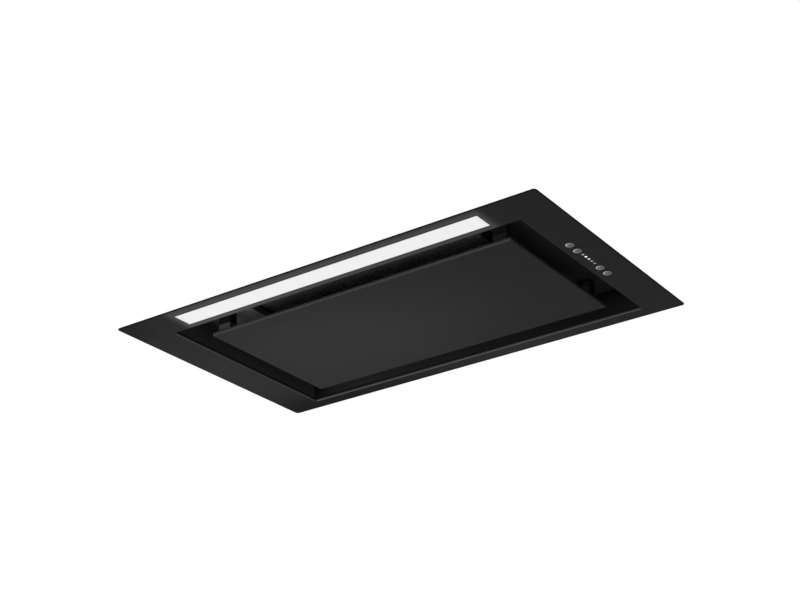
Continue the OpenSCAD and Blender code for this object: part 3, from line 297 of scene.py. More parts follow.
# %% [markdown]
# The world is the light that comes from all sides. Black paint needs little of it, but a backdrop has to be
# white. One level for both would make either the paint grey or the backdrop. The Light Path node tells the
# two apart: what the camera sees, or sees in a reflection, is at full level, and the rest is half as bright.

# %% World
WORLD_LEVEL = 0.5


def seen_by_camera(tree):
    """1 for rays that show a background: to the camera, in a reflection or through glass."""
    light_path = tree.make("ShaderNodeLightPath", out="Is Camera Ray")
    through = light_path.output("Is Transmission Ray")
    return light_path.larger(light_path.output("Is Glossy Ray")).larger(through)


scene.world = bpy.data.worlds.new("studio")
scene.world.use_nodes = True
sky = Nodes(scene.world.node_tree)
level = WORLD_LEVEL + (1 - WORLD_LEVEL) * seen_by_camera(sky)
sky.make("ShaderNodeOutputWorld", inputs={
    "Surface": sky.make("ShaderNodeBackground", inputs={"Color": rgb(1.0), "Strength": level})})
print("world level", WORLD_LEVEL)

# %% [markdown]
# The hood gets its light from large soft lamps, as in a studio. Point lamps would draw small hard spots. The
# strong ones stand above, where only the zinc of the casing needs them. Those below are weak, because black
# powder coat shows every lamp. One lamp shines into the near gap. It would draw a hot spot on the casing, so
# reflections leave it out.

# %% Lamps
def softbox(name, place, aim, width, height, power, shines_back=True):
    """A soft rectangular lamp that the camera doesn't see, nor a reflection where shines_back is off."""
    lamp = bpy.data.lights.new(name, "AREA")
    lamp.shape = "RECTANGLE"
    lamp.size = width
    lamp.size_y = height
    lamp.energy = power
    holder = bpy.data.objects.new(name, lamp)
    scene.collection.objects.link(holder)
    holder.location = place
    holder.rotation_mode = "QUATERNION"
    holder.rotation_quaternion = (Vector(aim) - Vector(place)).to_track_quat("-Z", "Y")
    holder.visible_camera = False
    holder.visible_glossy = shines_back
    print(name, power, "W")


softbox("left_far_below", place=(-1.7, 1.9, -1.3), aim=(-0.1, 0, 0), width=0.9, height=0.6, power=2.1)
softbox("left_below", place=(-1.2, 0.15, -0.6), aim=(-0.1, 0, 0), width=0.6, height=0.4, power=2.6)
softbox("front_low", place=(-0.6, -3.0, -0.65), aim=(0, 0, 0), width=1.0, height=0.3, power=6)
softbox("into_near_gap", place=(-0.6, -1.5, -1.35), aim=(-0.12, -0.06, 0.03),
        width=0.4, height=0.3, power=9, shines_back=False)
softbox("top_left", place=(-1.6, -1.6, 2.2), aim=(0, 0, 0.15), width=1.2, height=1.2, power=60)
softbox("top_back", place=(1.4, 2.0, 1.8), aim=(0, 0, 0.15), width=1.0, height=1.0, power=40)

# %% [markdown]
# ## Powder coat
# The face plate and the suction panel are steel sheet with a fine matt black powder coat. One plain black
# would look like plastic, for such a coat has a faint orange peel and a fine grain, and is a little cloudy.
# Its gloss stays low and even, and only a fold catches a line of light. Three sizes of noise make the coat.
# A thin, smoother clear layer along a fold and a painted highlight in its colour, added further on, make the
# line.

# %% Powder coat
POWDER_CLOUD, POWDER_GRAIN, ORANGE_PEEL = 90 * MM, 0.35 * MM, 2.2 * MM
CLOUD_SHARE, PEEL_SHARE = 0.7, 0.6
PEEL_DEPTH, POWDER_EDGE = 0.03 * MM, 0.4 * MM
VISIBLE_ROUGHNESS, HIDDEN_ROUGHNESS, ROUGHNESS_RANGE = 0.5, 0.6, 0.14


def powder_coat(name, roughness=VISIBLE_ROUGHNESS):
    """Fine matt powder coat without its colour yet, and its cloudy tone from 0 to 1."""
    coat = Surface(name, Specular_IOR_Level=0.08)
    cloud = coat.noise(POWDER_CLOUD)
    grain = coat.noise(POWDER_GRAIN)
    peel = coat.noise(ORANGE_PEEL)
    tone = cloud * CLOUD_SHARE + grain * (1 - CLOUD_SHARE)
    coat.set(Roughness=roughness + ROUGHNESS_RANGE * tone)
    coat.relief(peel * PEEL_SHARE + grain * (1 - PEEL_SHARE), PEEL_DEPTH, edge=POWDER_EDGE)
    return coat, tone


def even_coat(name, dark, light):
    """Powder coat between two tones that are the same everywhere."""
    coat, tone = powder_coat(name, HIDDEN_ROUGHNESS)
    coat.set(Base_Color=coat.mix(tone, rgb(dark), rgb(light)))
    return coat


def polished_line(coat, away, width, limit):
    """Thin, smoother coat on a fold, which catches a line of light."""
    coat.set(Coat_Weight=away.bell(width) * limit, Coat_Roughness=0.3, Coat_IOR=1.65)


# %% [markdown]
# The face plate is one sheet: a flange and, folded up from it, the walls of the opening. Its coat isn't the
# same all over. An image painted by hand could show that, but it would need a flat layout of the sheet. Here
# the coat is worked out from the place on the sheet. First come the measures that the next cells share: the
# place, the rim, and a function for soft patches.

# %% Places on the face plate
LAMP_SLOT = Vector((189, 12.25, 0)) * MM
LAMP_MIDDLE_Y = -134.25 * MM
OPENING_X, OPENING_MIDDLE_Y, OPENING_HALF_Y = 217 * MM, 13.25 * MM, 125.75 * MM
WALL_FROM_Z = 0.5 * MM
RIM_WIDTH = 1.2 * MM

plate_coat, plate_tone = powder_coat("plate_coat")
plate_x, plate_y, plate_z = plate_coat.split(plate_coat.place())
beside_opening = abs(plate_x) < OPENING_X
to_rim = (plate_hi.x - abs(plate_x)).smaller(plate_hi.y - abs(plate_y))
rim = to_rim.bell(RIM_WIDTH)


def patch(across, along, width, length):
    """A soft patch on the flange round one place, in millimetres."""
    return (plate_x - across * MM).bell(width * MM) * (plate_y - along * MM).bell(length * MM)


print("lamp slot", round(2 * LAMP_SLOT.x / MM, 1), "by", round(2 * LAMP_SLOT.y / MM, 1), "mm")

# %% [markdown]
# The lit strip spreads a soft glow on the black sheet round itself. A real lamp in the slot would make the
# render grainy and would be lost in an export. So the coat itself gives off a little light there. It fades
# as a bell curve of the distance to the slot, and faster past the slot's ends. The rims of the slot and of
# the plate stay dark. The glow is a little stronger at the left, on the side of the opening, and a little
# weaker at the right, along the near edge.

# %% Glow round the lamp strip
GLOW_REACH, GLOW_LEVEL, GLOW_SHARE = 14 * MM, 0.06, 0.75
SLOT_RIM = 1.4 * MM
END_FADE = 2.2
STRONGER_BY, WEAKER_BY = 0.25, 0.15

to_slot_x = (abs(plate_x) - LAMP_SLOT.x).larger(0) * END_FADE
to_slot_y = (abs(plate_y - LAMP_MIDDLE_Y) - LAMP_SLOT.y).larger(0)
to_slot = (to_slot_x * to_slot_x + to_slot_y * to_slot_y) ** 0.5
glow = to_slot.bell(GLOW_REACH) * (1 - to_slot.bell(SLOT_RIM)) * (1 - rim) * (plate_z < WALL_FROM_Z)
stronger = STRONGER_BY * patch(across=-150, along=-118, width=90, length=7)
weaker = WEAKER_BY * patch(across=110, along=-157, width=110, length=3)
glow = glow * (GLOW_SHARE + stronger - weaker)
plate_coat.set(Emission_Color=plate_coat.mix(glow, rgb(0.0), rgb(1.0)), Emission_Strength=GLOW_LEVEL)
print("glow reaches", GLOW_REACH / MM, "mm round the slot")

# %% [markdown]
# The flange is very dark. The walls are painted greyer than the flange, most of all at the left: painted
# light in the opening. The far left corner gets painted shade, and so does a band just above the folds.
# Each of these could be a material of its own, with a hard edge. A chain of mixes, one for each, gives soft
# edges instead.

# %% Tones of the face plate
FLAT_DARK, FLAT_LIGHT = 0.006, 0.010
WALL_LIGHT_END, WALL_FADE = 215 * MM, 360 * MM
WALL_LIGHT_LEFT, WALL_LIGHT_RIGHT = 0.038, 0.012
CORNER_WIDTH, FAR_WALL_Y, CORNER_SHADE_TONE = 34 * MM, 138.5 * MM, 0.008
SHADE_TOP, SHADE_REACH, SHADE_TONE = 1.4 * MM, 1.5 * MM, 0.004

flat_coat = plate_coat.mix(plate_tone, rgb(FLAT_DARK), rgb(FLAT_LIGHT))
from_light_end = plate_x + WALL_LIGHT_END
# Painted light: the walls are greyer at the left and darker towards the right.
wall_light_and_shade = plate_coat.mix(from_light_end / WALL_FADE, rgb(WALL_LIGHT_LEFT), rgb(WALL_LIGHT_RIGHT))
# Painted shade in the far left corner.
far_corner_shade = from_light_end.bell(CORNER_WIDTH) * (plate_y > FAR_WALL_Y)
wall_light_and_shade = plate_coat.mix(far_corner_shade, wall_light_and_shade, rgb(CORNER_SHADE_TONE))
# Painted shade in a band just above the folds.
painted_fold_shade = (plate_z - SHADE_TOP).bell(SHADE_REACH)
wall_light_and_shade = plate_coat.mix(painted_fold_shade, wall_light_and_shade, rgb(SHADE_TONE))
sheet_coat = plate_coat.mix(plate_z > WALL_FROM_Z, flat_coat, wall_light_and_shade)
print("walls from", WALL_LIGHT_LEFT, "at the left to", WALL_LIGHT_RIGHT, "at the right")

# %% [markdown]
# Each fold carries a painted highlight: a light line in the colour. The far one also has a smoother clear
# layer, and its painted highlight is lightest near its middle. A line could be a thin mesh laid on the fold,
# but it would stand proud. So it is a tone that follows a bell curve across the fold. The plate's rounded
# rim
# is the last mix, and the darkest: painted shade.

# %% Lines on the folds and the rim
LEFT_FOLD_TOP, LEFT_FOLD_REACH, LEFT_FOLD_HIGHLIGHT = -0.1 * MM, 1.5 * MM, 0.15
FAR_FOLD_Y, FAR_FOLD_REACH, FAR_FOLD_HIGHLIGHT = 140.7 * MM, 0.9 * MM, 0.035
FOLD_LIGHT_X, FOLD_LIGHT_REACH, FOLD_LIGHT_SHARE = 30 * MM, 150 * MM, 0.3
RIM_SHADE_TONE = 0.001

# Painted highlight: a light line along the left fold.
left_fold_highlight = (plate_x + OPENING_X).bell(LEFT_FOLD_REACH) * (plate_z < LEFT_FOLD_TOP)
left_fold_highlight = left_fold_highlight * (abs(plate_y - OPENING_MIDDLE_Y) < OPENING_HALF_Y)
sheet_coat = plate_coat.mix(left_fold_highlight, sheet_coat, rgb(LEFT_FOLD_HIGHLIGHT))
from_far_fold = plate_y - FAR_FOLD_Y
polished_line(plate_coat, from_far_fold, FAR_FOLD_REACH, beside_opening)
# Painted highlight: a light line along the far fold, lightest near its middle.
fold_middle = (plate_x + FOLD_LIGHT_X).bell(FOLD_LIGHT_REACH)
fold_light = (1 - FOLD_LIGHT_SHARE) + FOLD_LIGHT_SHARE * fold_middle
far_fold_highlight = from_far_fold.bell(FAR_FOLD_REACH) * beside_opening * fold_light
sheet_coat = plate_coat.mix(far_fold_highlight, sheet_coat, rgb(FAR_FOLD_HIGHLIGHT))
# Painted shade: the plate's rounded rim is the darkest tone.
plate_coat.set(Base_Color=plate_coat.mix(rim, sheet_coat, rgb(RIM_SHADE_TONE)))
print("lines", LEFT_FOLD_REACH / MM, "and", FAR_FOLD_REACH / MM, "mm to each side of the folds")

# %% [markdown]
# Powder that melts unevenly leaves coarser grain in some places, here the two left corners and the rim, and
# a finer one in others. Coarse grain spreads the light and looks darker from below. A darker colour would
# look darker from every side. So the roughness changes with the place, in soft patches.

# %% Grain of the face plate
FAR_LEFT_GRAIN, NEAR_LEFT_GRAIN, RIM_GRAIN = 0.33, 0.17, 0.3
FAR_SHINE, LEFT_SHINE = 0.1, 0.06

coarse = FAR_LEFT_GRAIN * patch(across=-250, along=160, width=190, length=38)
coarse = coarse + NEAR_LEFT_GRAIN * patch(across=-262, along=-160, width=48, length=45)
coarse = coarse + RIM_GRAIN * rim
fine = FAR_SHINE * patch(across=50, along=150, width=90, length=20)
fine = fine + LEFT_SHINE * patch(across=-238, along=5, width=30, length=60)
plate_coat.set(Roughness=VISIBLE_ROUGHNESS + ROUGHNESS_RANGE * plate_tone + coarse - fine)
print("the far left corner is rougher by", FAR_LEFT_GRAIN)

# %% [markdown]
# The suction panel is painted lighter towards its middle: painted light. A lamp aimed at the middle would
# also light the gap, so the tone itself rises towards the middle, as two bell curves, one for each
# direction.
# The near edge is rounded, and carries a painted highlight: a thin lighter line.

# %% Coat of the suction panel
PANEL_DARK, PANEL_LIGHT, PANEL_EDGE_HIGHLIGHT = 0.008, 0.024, 0.05
EDGE_REACH, EDGE_POLISH = 0.9 * MM, 0.6
LIT_MIDDLE_X, LIT_MIDDLE_Y = 70 * MM, 20 * MM
LIT_MIDDLE_WIDTH, LIT_MIDDLE_LENGTH, LIT_MIDDLE_SHARE = 165 * MM, 115 * MM, 0.85

panel_coat, panel_tone = powder_coat("panel_coat")
panel_x, panel_y = panel_coat.split(panel_coat.place())[:2]
# Painted light: the panel is lighter towards its middle.
panel_painted_light = (panel_x + LIT_MIDDLE_X).bell(LIT_MIDDLE_WIDTH) * (panel_y - LIT_MIDDLE_Y).bell(LIT_MIDDLE_LENGTH)
lightness = panel_tone * (1 - LIT_MIDDLE_SHARE) + panel_painted_light * LIT_MIDDLE_SHARE
middle_coat = panel_coat.mix(lightness, rgb(PANEL_DARK), rgb(PANEL_LIGHT))
from_near_edge = panel_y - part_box("suction_panel")[0].y
# Painted highlight: a thin lighter line along the near edge.
near_edge_highlight = from_near_edge.bell(EDGE_REACH)
panel_coat.set(Base_Color=panel_coat.mix(near_edge_highlight, middle_coat, rgb(PANEL_EDGE_HIGHLIGHT)))
polished_line(panel_coat, from_near_edge, EDGE_REACH, EDGE_POLISH)
print("panel coat is lightest", LIT_MIDDLE_X / MM, "mm left of the middle")

# %% [markdown]
# Hinges, catches and the sheet round the filter are coated too. The left catch bracket is painted greyer
# than the right one: painted light on the left one and painted shade on the right one. The sheet behind it
# has a patch of painted light behind the left catch, and its right end is painted lighter towards the front.
# Two brackets share one piece, so a test of the side picks the tone. That saves a second material for a coat
# that differs in nothing else.

# %% Coats behind the gap
CATCH_X, CATCH_Y = 155 * MM, -80 * MM
BRACKET_LIT_DARK, BRACKET_LIT_LIGHT, BRACKET_SHADED = 0.09, 0.11, 0.03
GAP_LIGHT_WIDTH, GAP_LIGHT_LENGTH, GAP_LIGHT_TONE = 32 * MM, 50 * MM, 0.23
SUPPORT_DARK, SUPPORT_LIGHT = 0.012, 0.016
RIGHT_FROM_X, RIGHT_FADE = 135 * MM, 25 * MM
RIGHT_NEAR_Y, RIGHT_LENGTH = 40 * MM, 80 * MM
RIGHT_NEAR_LIGHT, RIGHT_FAR_LIGHT = 0.032, 0.012

inner_coat = even_coat("inner_coat", dark=0.008, light=0.012)
catch_coat = even_coat("catch_coat", dark=0.012, light=0.018)
bracket_coat, bracket_tone = powder_coat("bracket_coat", HIDDEN_ROUGHNESS)
# Painted light on the left bracket and painted shade on the right one.
right_side = bracket_coat.split(bracket_coat.place())[0] > 0
lit_bracket_tone = bracket_coat.mix(bracket_tone, rgb(BRACKET_LIT_DARK), rgb(BRACKET_LIT_LIGHT))
bracket_coat.set(Base_Color=bracket_coat.mix(right_side, lit_bracket_tone, rgb(BRACKET_SHADED)))

support_coat, support_tone = powder_coat("support_coat", HIDDEN_ROUGHNESS)
support_x, support_y = support_coat.split(support_coat.place())[:2]
support_coat_and_light = support_coat.mix(support_tone, rgb(SUPPORT_DARK), rgb(SUPPORT_LIGHT))
# Painted light: the right end is lighter towards the front, fading towards the back.
towards_far = (support_y - RIGHT_NEAR_Y) / RIGHT_LENGTH
right_end_painted_light = support_coat.mix(towards_far, rgb(RIGHT_NEAR_LIGHT), rgb(RIGHT_FAR_LIGHT))
support_coat_and_light = support_coat.mix((support_x - RIGHT_FROM_X) / RIGHT_FADE, support_coat_and_light, right_end_painted_light)
# Painted light: a pale patch on the sheet behind the left catch.
gap_light_patch = (support_x + CATCH_X).bell(GAP_LIGHT_WIDTH) * (support_y - CATCH_Y).bell(GAP_LIGHT_LENGTH)
support_coat.set(Base_Color=support_coat.mix(gap_light_patch, support_coat_and_light, rgb(GAP_LIGHT_TONE)))
print("primer shows over", GAP_LIGHT_WIDTH / MM, "by", GAP_LIGHT_LENGTH / MM, "mm")

# %% [markdown]
# ## Galvanised and bright metal
# The casing, the boxes and the scroll are hot-dip galvanised sheet. Zinc freezes in flat crystals, the
# spangle, and each crystal reflects a little differently. Noise has no such flat fields, so Voronoi cells
# with a random tone and roughness make the spangle.

# %% Galvanised sheet
SPANGLE, SPANGLE_BORDER = 5 * MM, 0.12
ZINC_DARK, ZINC_LIGHT = rgb(0.47, 0.49, 0.51), rgb(0.64, 0.66, 0.67)
ZINC_CLOUD, ZINC_GRAIN, ZINC_DEPTH, ZINC_EDGE = 60 * MM, 0.6 * MM, 0.02 * MM, 0.5 * MM
ZINC_ROUGHNESS, CRYSTAL_RANGE, CLOUD_RANGE = 0.34, 0.12, 0.1
METAL_DETAIL = 3

galvanised = Surface("galvanised", Metallic=1.0)
crystal = galvanised.split(galvanised.cells(SPANGLE, out="Color"))[0]
border = (galvanised.cells(SPANGLE, "DISTANCE_TO_EDGE") / SPANGLE_BORDER).smaller(1)
cloud = galvanised.noise(ZINC_CLOUD, METAL_DETAIL)
galvanised.set(Base_Color=galvanised.mix(crystal * 0.5 + cloud * 0.5, ZINC_DARK, ZINC_LIGHT))
galvanised.set(Roughness=ZINC_ROUGHNESS + CRYSTAL_RANGE * crystal + CLOUD_RANGE * cloud)
galvanised.relief(border * 0.5 + galvanised.noise(ZINC_GRAIN) * 0.5, ZINC_DEPTH, edge=ZINC_EDGE)
print("spangle of", SPANGLE / MM, "mm")

# %% [markdown]
# Drawn and brushed metal has fine lines along one direction. Lines made one by one would be too regular. So
# noise is stretched, and one function serves the springs, the bright screws and shafts and the filter. The
# filter's aluminium is dark, and only partly metallic.

# %% Brushed metal
BRUSH_LINE, BRUSH_CLOUD, BRUSH_DEPTH, BRUSH_EDGE = 0.4 * MM, 30 * MM, 0.008 * MM, 0.25 * MM
LINE_RANGE = 0.14


def brushed_metal(name, dark, light, roughness, stretch):
    """Metal with fine lines, long in the direction where stretch is small."""
    metal = Surface(name, Metallic=1.0)
    lines = metal.noise(BRUSH_LINE, METAL_DETAIL, stretch)
    tone = lines * 0.5 + metal.noise(BRUSH_CLOUD) * 0.5
    metal.set(Base_Color=metal.mix(tone, rgb(dark), rgb(light)))
    metal.set(Roughness=roughness + LINE_RANGE * lines)
    metal.relief(lines, BRUSH_DEPTH, edge=BRUSH_EDGE)
    return metal


spring_steel = brushed_metal("spring_steel", dark=0.5, light=0.72, roughness=0.22, stretch=(1, 1, 0.05))
bright_steel = brushed_metal("bright_steel", dark=0.5, light=0.7, roughness=0.2, stretch=(1, 1, 0.1))
filter_aluminium = brushed_metal("filter_aluminium", dark=0.14, light=0.18, roughness=0.5,
                                 stretch=(0.05, 1, 1))
filter_aluminium.set(Metallic=0.4)
print("brushed lines of", BRUSH_LINE / MM, "mm")

# %% [markdown]
# The motor's housing is painted steel, and magnets are sintered ferrite. Both have a dull skin of round
# lumps. The same noise without a stretch makes it, with more depth than in the brushed metal.

# %% Cast metal
CAST_DEPTH, CAST_EDGE = 0.05 * MM, 0.4 * MM
CAST_DARKER, CAST_LIGHTER, LUMP_RANGE = 0.75, 1.2, 0.15


def cast_metal(name, tone, grain, roughness=0.55, metallic=0.6):
    """Dark painted or sintered metal with a fine grain."""
    metal = Surface(name, Metallic=metallic)
    lumps = metal.noise(grain, METAL_DETAIL)
    metal.set(Base_Color=metal.mix(lumps, rgb(tone * CAST_DARKER), rgb(tone * CAST_LIGHTER)))
    metal.set(Roughness=roughness + LUMP_RANGE * lumps)
    metal.relief(lumps, CAST_DEPTH, edge=CAST_EDGE)
    return metal


motor_steel = cast_metal("motor_steel", tone=0.22, grain=0.8 * MM)
ferrite = cast_metal("ferrite", tone=0.12, grain=0.5 * MM, metallic=0.2)
print("lumps", CAST_DEPTH / MM, "mm deep")

# %% [markdown]
# The button caps are blasted satin. Each cap is painted lighter on the side towards the panel and darker on
# the far side, and its rim carries a painted highlight on that side only. Four materials could each know
# their own cap, but one is enough if it knows the distance to the nearest cap's axis. Folding the place
# twice, by the absolute value, lays all four axes on one another.

# %% Metal of the buttons
BUTTON_X, BUTTON_PAIR_Y, BUTTON_PITCH = 230 * MM, 31.55 * MM, 15.7 * MM
CAP_R = 4.75 * MM
RIM_HIGHLIGHT_FROM, RIM_HIGHLIGHT_WIDTH, RIM_HIGHLIGHT_BELOW, RIM_HIGHLIGHT_TONE = 3.0 * MM, 1.1 * MM, -1.0 * MM, 0.56
LIT_SIDE_MIDDLE, SHADED_SIDE_LEVEL, LIT_SIDE_RISE = 0.55, 0.45, 0.6
SATIN_DARK, SATIN_RISE = 0.19, 0.10
BLAST_GRAIN, BLAST_DEPTH, CAP_EDGE = 0.45 * MM, 0.008 * MM, 0.25 * MM
CAP_ROUGHNESS, BLAST_RANGE = 0.10, 0.14

button_metal = Surface("button_metal", Metallic=1.0)
cap_x, cap_y, cap_z = button_metal.split(button_metal.place())
off_x = cap_x - BUTTON_X
off_y = abs(abs(cap_y) - BUTTON_PAIR_Y) - BUTTON_PITCH / 2
to_axis = (off_x * off_x + off_y * off_y) ** 0.5
# Painted light and shade: lighter on the side towards the panel, darker on the far side.
lit_side = LIT_SIDE_MIDDLE - off_x / (2 * CAP_R)
blasted = button_metal.noise(BLAST_GRAIN, METAL_DETAIL)
satin_and_side_light = (SATIN_DARK + SATIN_RISE * blasted) * (SHADED_SIDE_LEVEL + LIT_SIDE_RISE * lit_side)
satin = button_metal.mix(satin_and_side_light, rgb(0.0), rgb(1.0))
# Painted highlight on the rim, on the side towards the panel only.
rim_highlight = ((to_axis - RIM_HIGHLIGHT_FROM) / RIM_HIGHLIGHT_WIDTH).smaller(1) * (cap_z < RIM_HIGHLIGHT_BELOW) * lit_side
button_metal.set(Base_Color=button_metal.mix(rim_highlight, satin, rgb(RIM_HIGHLIGHT_TONE)))
button_metal.set(Roughness=CAP_ROUGHNESS + BLAST_RANGE * blasted)
button_metal.relief(blasted, BLAST_DEPTH, edge=CAP_EDGE)
print("caps of", 2 * CAP_R / MM, "mm, polished from radius", RIM_HIGHLIGHT_FROM / MM, "mm")

# %% [markdown]
# ## Plastics and rubber
# Housings are moulded with a fine spark-eroded texture, which scatters the light and hides flow lines. Small
# cells in the relief make the texture, and noise would look like sand. Rubber has a softer, duller skin, and
# cable sheath a smoother one, so one function serves all four.

# %% Plastics
MOULD_CLOUD, MOULD_EDGE = 40 * MM, 0.4 * MM
TEXTURE_RANGE, MOULD_CLOUD_RANGE = 0.1, 0.06


def moulded(name, dark, light, roughness, grain=0.25 * MM, depth=0.02 * MM):
    """Moulded plastic or rubber, with a fine texture in its skin."""
    plastic = Surface(name)
    texture = plastic.cells(grain)
    cloud = plastic.noise(MOULD_CLOUD)
    plastic.set(Base_Color=plastic.mix(cloud, rgb(dark), rgb(light)))
    plastic.set(Roughness=roughness + TEXTURE_RANGE * texture + MOULD_CLOUD_RANGE * cloud)
    plastic.relief(texture, depth, edge=MOULD_EDGE)
    return plastic


black_plastic = moulded("black_plastic", dark=0.018, light=0.026, roughness=0.5)
white_plastic = moulded("white_plastic", dark=0.72, light=0.80, roughness=0.42)
black_rubber = moulded("black_rubber", dark=0.014, light=0.022, roughness=0.72, grain=0.5 * MM)
cable_sheath = moulded("cable_sheath", dark=0.10, light=0.14, roughness=0.38, grain=1.2 * MM,
                       depth=0.01 * MM)
print("two plastics, a rubber and a cable sheath")

# %% [markdown]
# ## Lamp, indicators and boards
# The lit strip is opal acrylic over a row of LED chips. Real light through a milky sheet takes long to
# render, so the strip gives off its own light. Opal evens the chips out, so it is nearly one white. Only a
# faint ripple, as wide as one chip is from the next, is left of them, and the rim is darker. The chips
# behind it have a skin of yellow phosphor.

# %% Lamp strip and chips
CHIP_PITCH, CHIP_RISE = 26 * MM, 0.015
OPAL_LEVEL, OPAL_DARK, OPAL_LIGHT = 0.81, 0.06, 0.07
OPAL_RIM_X, OPAL_RIM_Y, OPAL_RIM_DROP = 4 * MM, 2 * MM, 0.08
OPAL_CLOUD, OPAL_GRAIN, OPAL_DEPTH = 20 * MM, 0.5 * MM, 0.01 * MM

opal = Surface("opal_acrylic", Roughness=0.6, Specular_IOR_Level=0.1, Emission_Strength=OPAL_LEVEL)
strip_x, strip_y = opal.split(opal.place())[:2]
rim_x = (LAMP_SLOT.x - abs(strip_x)).bell(OPAL_RIM_X)
rim_y = (LAMP_SLOT.y - abs(strip_y - LAMP_MIDDLE_Y)).bell(OPAL_RIM_Y)
spots = (strip_x * (2 * math.pi / CHIP_PITCH)).sine() * CHIP_RISE
opal.set(Base_Color=opal.mix(opal.noise(OPAL_CLOUD), rgb(OPAL_DARK), rgb(OPAL_LIGHT)))
opal.set(Emission_Color=opal.mix(1 + spots - OPAL_RIM_DROP * rim_x.larger(rim_y), rgb(0.0), rgb(1.0)))
opal.relief(opal.noise(OPAL_GRAIN), OPAL_DEPTH)

PHOSPHOR_DARK, PHOSPHOR_LIGHT = rgb(0.85, 0.72, 0.30), rgb(0.95, 0.85, 0.45)
PHOSPHOR_GRAIN, PHOSPHOR_CLOUD = 0.8 * MM, 2 * MM
WARM_WHITE = rgb(0.95, 0.9, 0.75)
phosphor = Surface("led_phosphor", Roughness=0.3, Emission_Strength=0.6)
phosphor.set(Base_Color=phosphor.mix(phosphor.noise(PHOSPHOR_GRAIN), PHOSPHOR_DARK, PHOSPHOR_LIGHT))
phosphor.set(Emission_Color=phosphor.mix(phosphor.noise(PHOSPHOR_CLOUD), WARM_WHITE, rgb(1.0)))
print("strip level", OPAL_LEVEL)

# %% [markdown]
# The indicators are the ends of five small light guides, and they share one piece. Five materials would
# need five pieces. So the light of each one is chosen by its place in the row. The second is lit brightest
# here, as if the second fan speed were chosen.

# %% Light of the indicators
LENS_PITCH = 6.2 * MM
LENS_LIGHT = (0.30, 1.0, 0.60, 0.22, 0.14)
LENS_CLOUD, LENS_DARK, LENS_PALE = 1 * MM, 0.16, 0.2
MIDDLE_LENS = len(LENS_LIGHT) // 2
lens_plastic = Surface("lens_plastic", Roughness=0.3, Emission_Strength=1.0)
lens_y = lens_plastic.split(lens_plastic.place())[1]
shining = 0
for index, light in enumerate(LENS_LIGHT):
    shining = shining + light * (abs(lens_y - (index - MIDDLE_LENS) * LENS_PITCH) < LENS_PITCH / 2)
lens_cloud = lens_plastic.noise(LENS_CLOUD)
lens_plastic.set(Base_Color=lens_plastic.mix(lens_cloud, rgb(LENS_DARK), rgb(LENS_PALE)))
lens_plastic.set(Emission_Color=lens_plastic.mix(shining, rgb(0.0), rgb(1.0)))
print(len(LENS_LIGHT), "indicators, brightest at", max(LENS_LIGHT))

# %% [markdown]
# A circuit board is green lacquer over copper tracks, with tinned pads and some taller parts: relays, a
# transformer and a row of terminals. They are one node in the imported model, so height and place tell them
# apart, and cells draw the tracks and pads. Modelling each track would serve nobody, as a cover hides them.

# %% Circuit boards
BOARD_TOP = 101 * MM
TERMINALS_FROM, RELAYS_FROM = 40 * MM, -2 * MM
TRACK_FIELD, TRACK_WIDTH, TRACK_DEPTH = 3.2 * MM, 0.09, 0.03 * MM
PAD_FIELD, PAD_SIZE = 5 * MM, 0.16
PART_GRAIN = 0.5 * MM
LACQUER, TRACK, TINNED_PAD = rgb(0.012, 0.10, 0.045), rgb(0.03, 0.20, 0.09), rgb(0.55, 0.56, 0.52)
TRANSFORMER_TONES = rgb(0.30, 0.22, 0.02), rgb(0.42, 0.32, 0.04)
RELAY_TONES = rgb(0.012, 0.012, 0.014), rgb(0.03, 0.03, 0.032)
TERMINAL_TONES = rgb(0.50, 0.51, 0.50), rgb(0.62, 0.63, 0.62)

board_mask = Surface("circuit_board", Roughness=0.35)
board_y, board_z = board_mask.split(board_mask.place())[1:]
tracks = board_mask.cells(TRACK_FIELD, "DISTANCE_TO_EDGE") < TRACK_WIDTH
pads = board_mask.cells(PAD_FIELD) < PAD_SIZE
bare_board = board_mask.mix(pads, board_mask.mix(tracks, LACQUER, TRACK), TINNED_PAD)
grain = board_mask.noise(PART_GRAIN)
transformer = board_mask.mix(grain, *TRANSFORMER_TONES)
relay = board_mask.mix(grain, *RELAY_TONES)
terminal = board_mask.mix(grain, *TERMINAL_TONES)
tall_part = board_mask.mix(board_y > RELAYS_FROM, transformer, relay)
tall_part = board_mask.mix(board_y > TERMINALS_FROM, tall_part, terminal)
board_mask.set(Base_Color=board_mask.mix(board_z > BOARD_TOP, bare_board, tall_part))
board_mask.relief(tracks * (board_z < BOARD_TOP), TRACK_DEPTH)
print("parts taller than", BOARD_TOP / MM, "mm have their own tone")

# %% [markdown]
# The motor's stator is a stack of thin steel sheets with a copper winding at both ends. Hundreds of turns of
# wire would be a heavy mesh. A sine along the shaft shows them as fine stripes, in the colour and in the
# relief, and the middle part takes the colour of steel.

# %% Winding and laminations
WIRE, WIRE_DEPTH = 0.6 * MM, 0.1 * MM
STACK_MIDDLE, STACK_HALF = 34 * MM, 12 * MM
WINDING_ROUGHNESS, WINDING_RANGE, WINDING_CLOUD = 0.28, 0.2, 3 * MM
COPPER_TONES = rgb(0.30, 0.10, 0.035), rgb(0.72, 0.33, 0.15)
LAMINATION_TONES = rgb(0.22, 0.22, 0.23), rgb(0.42, 0.42, 0.43)

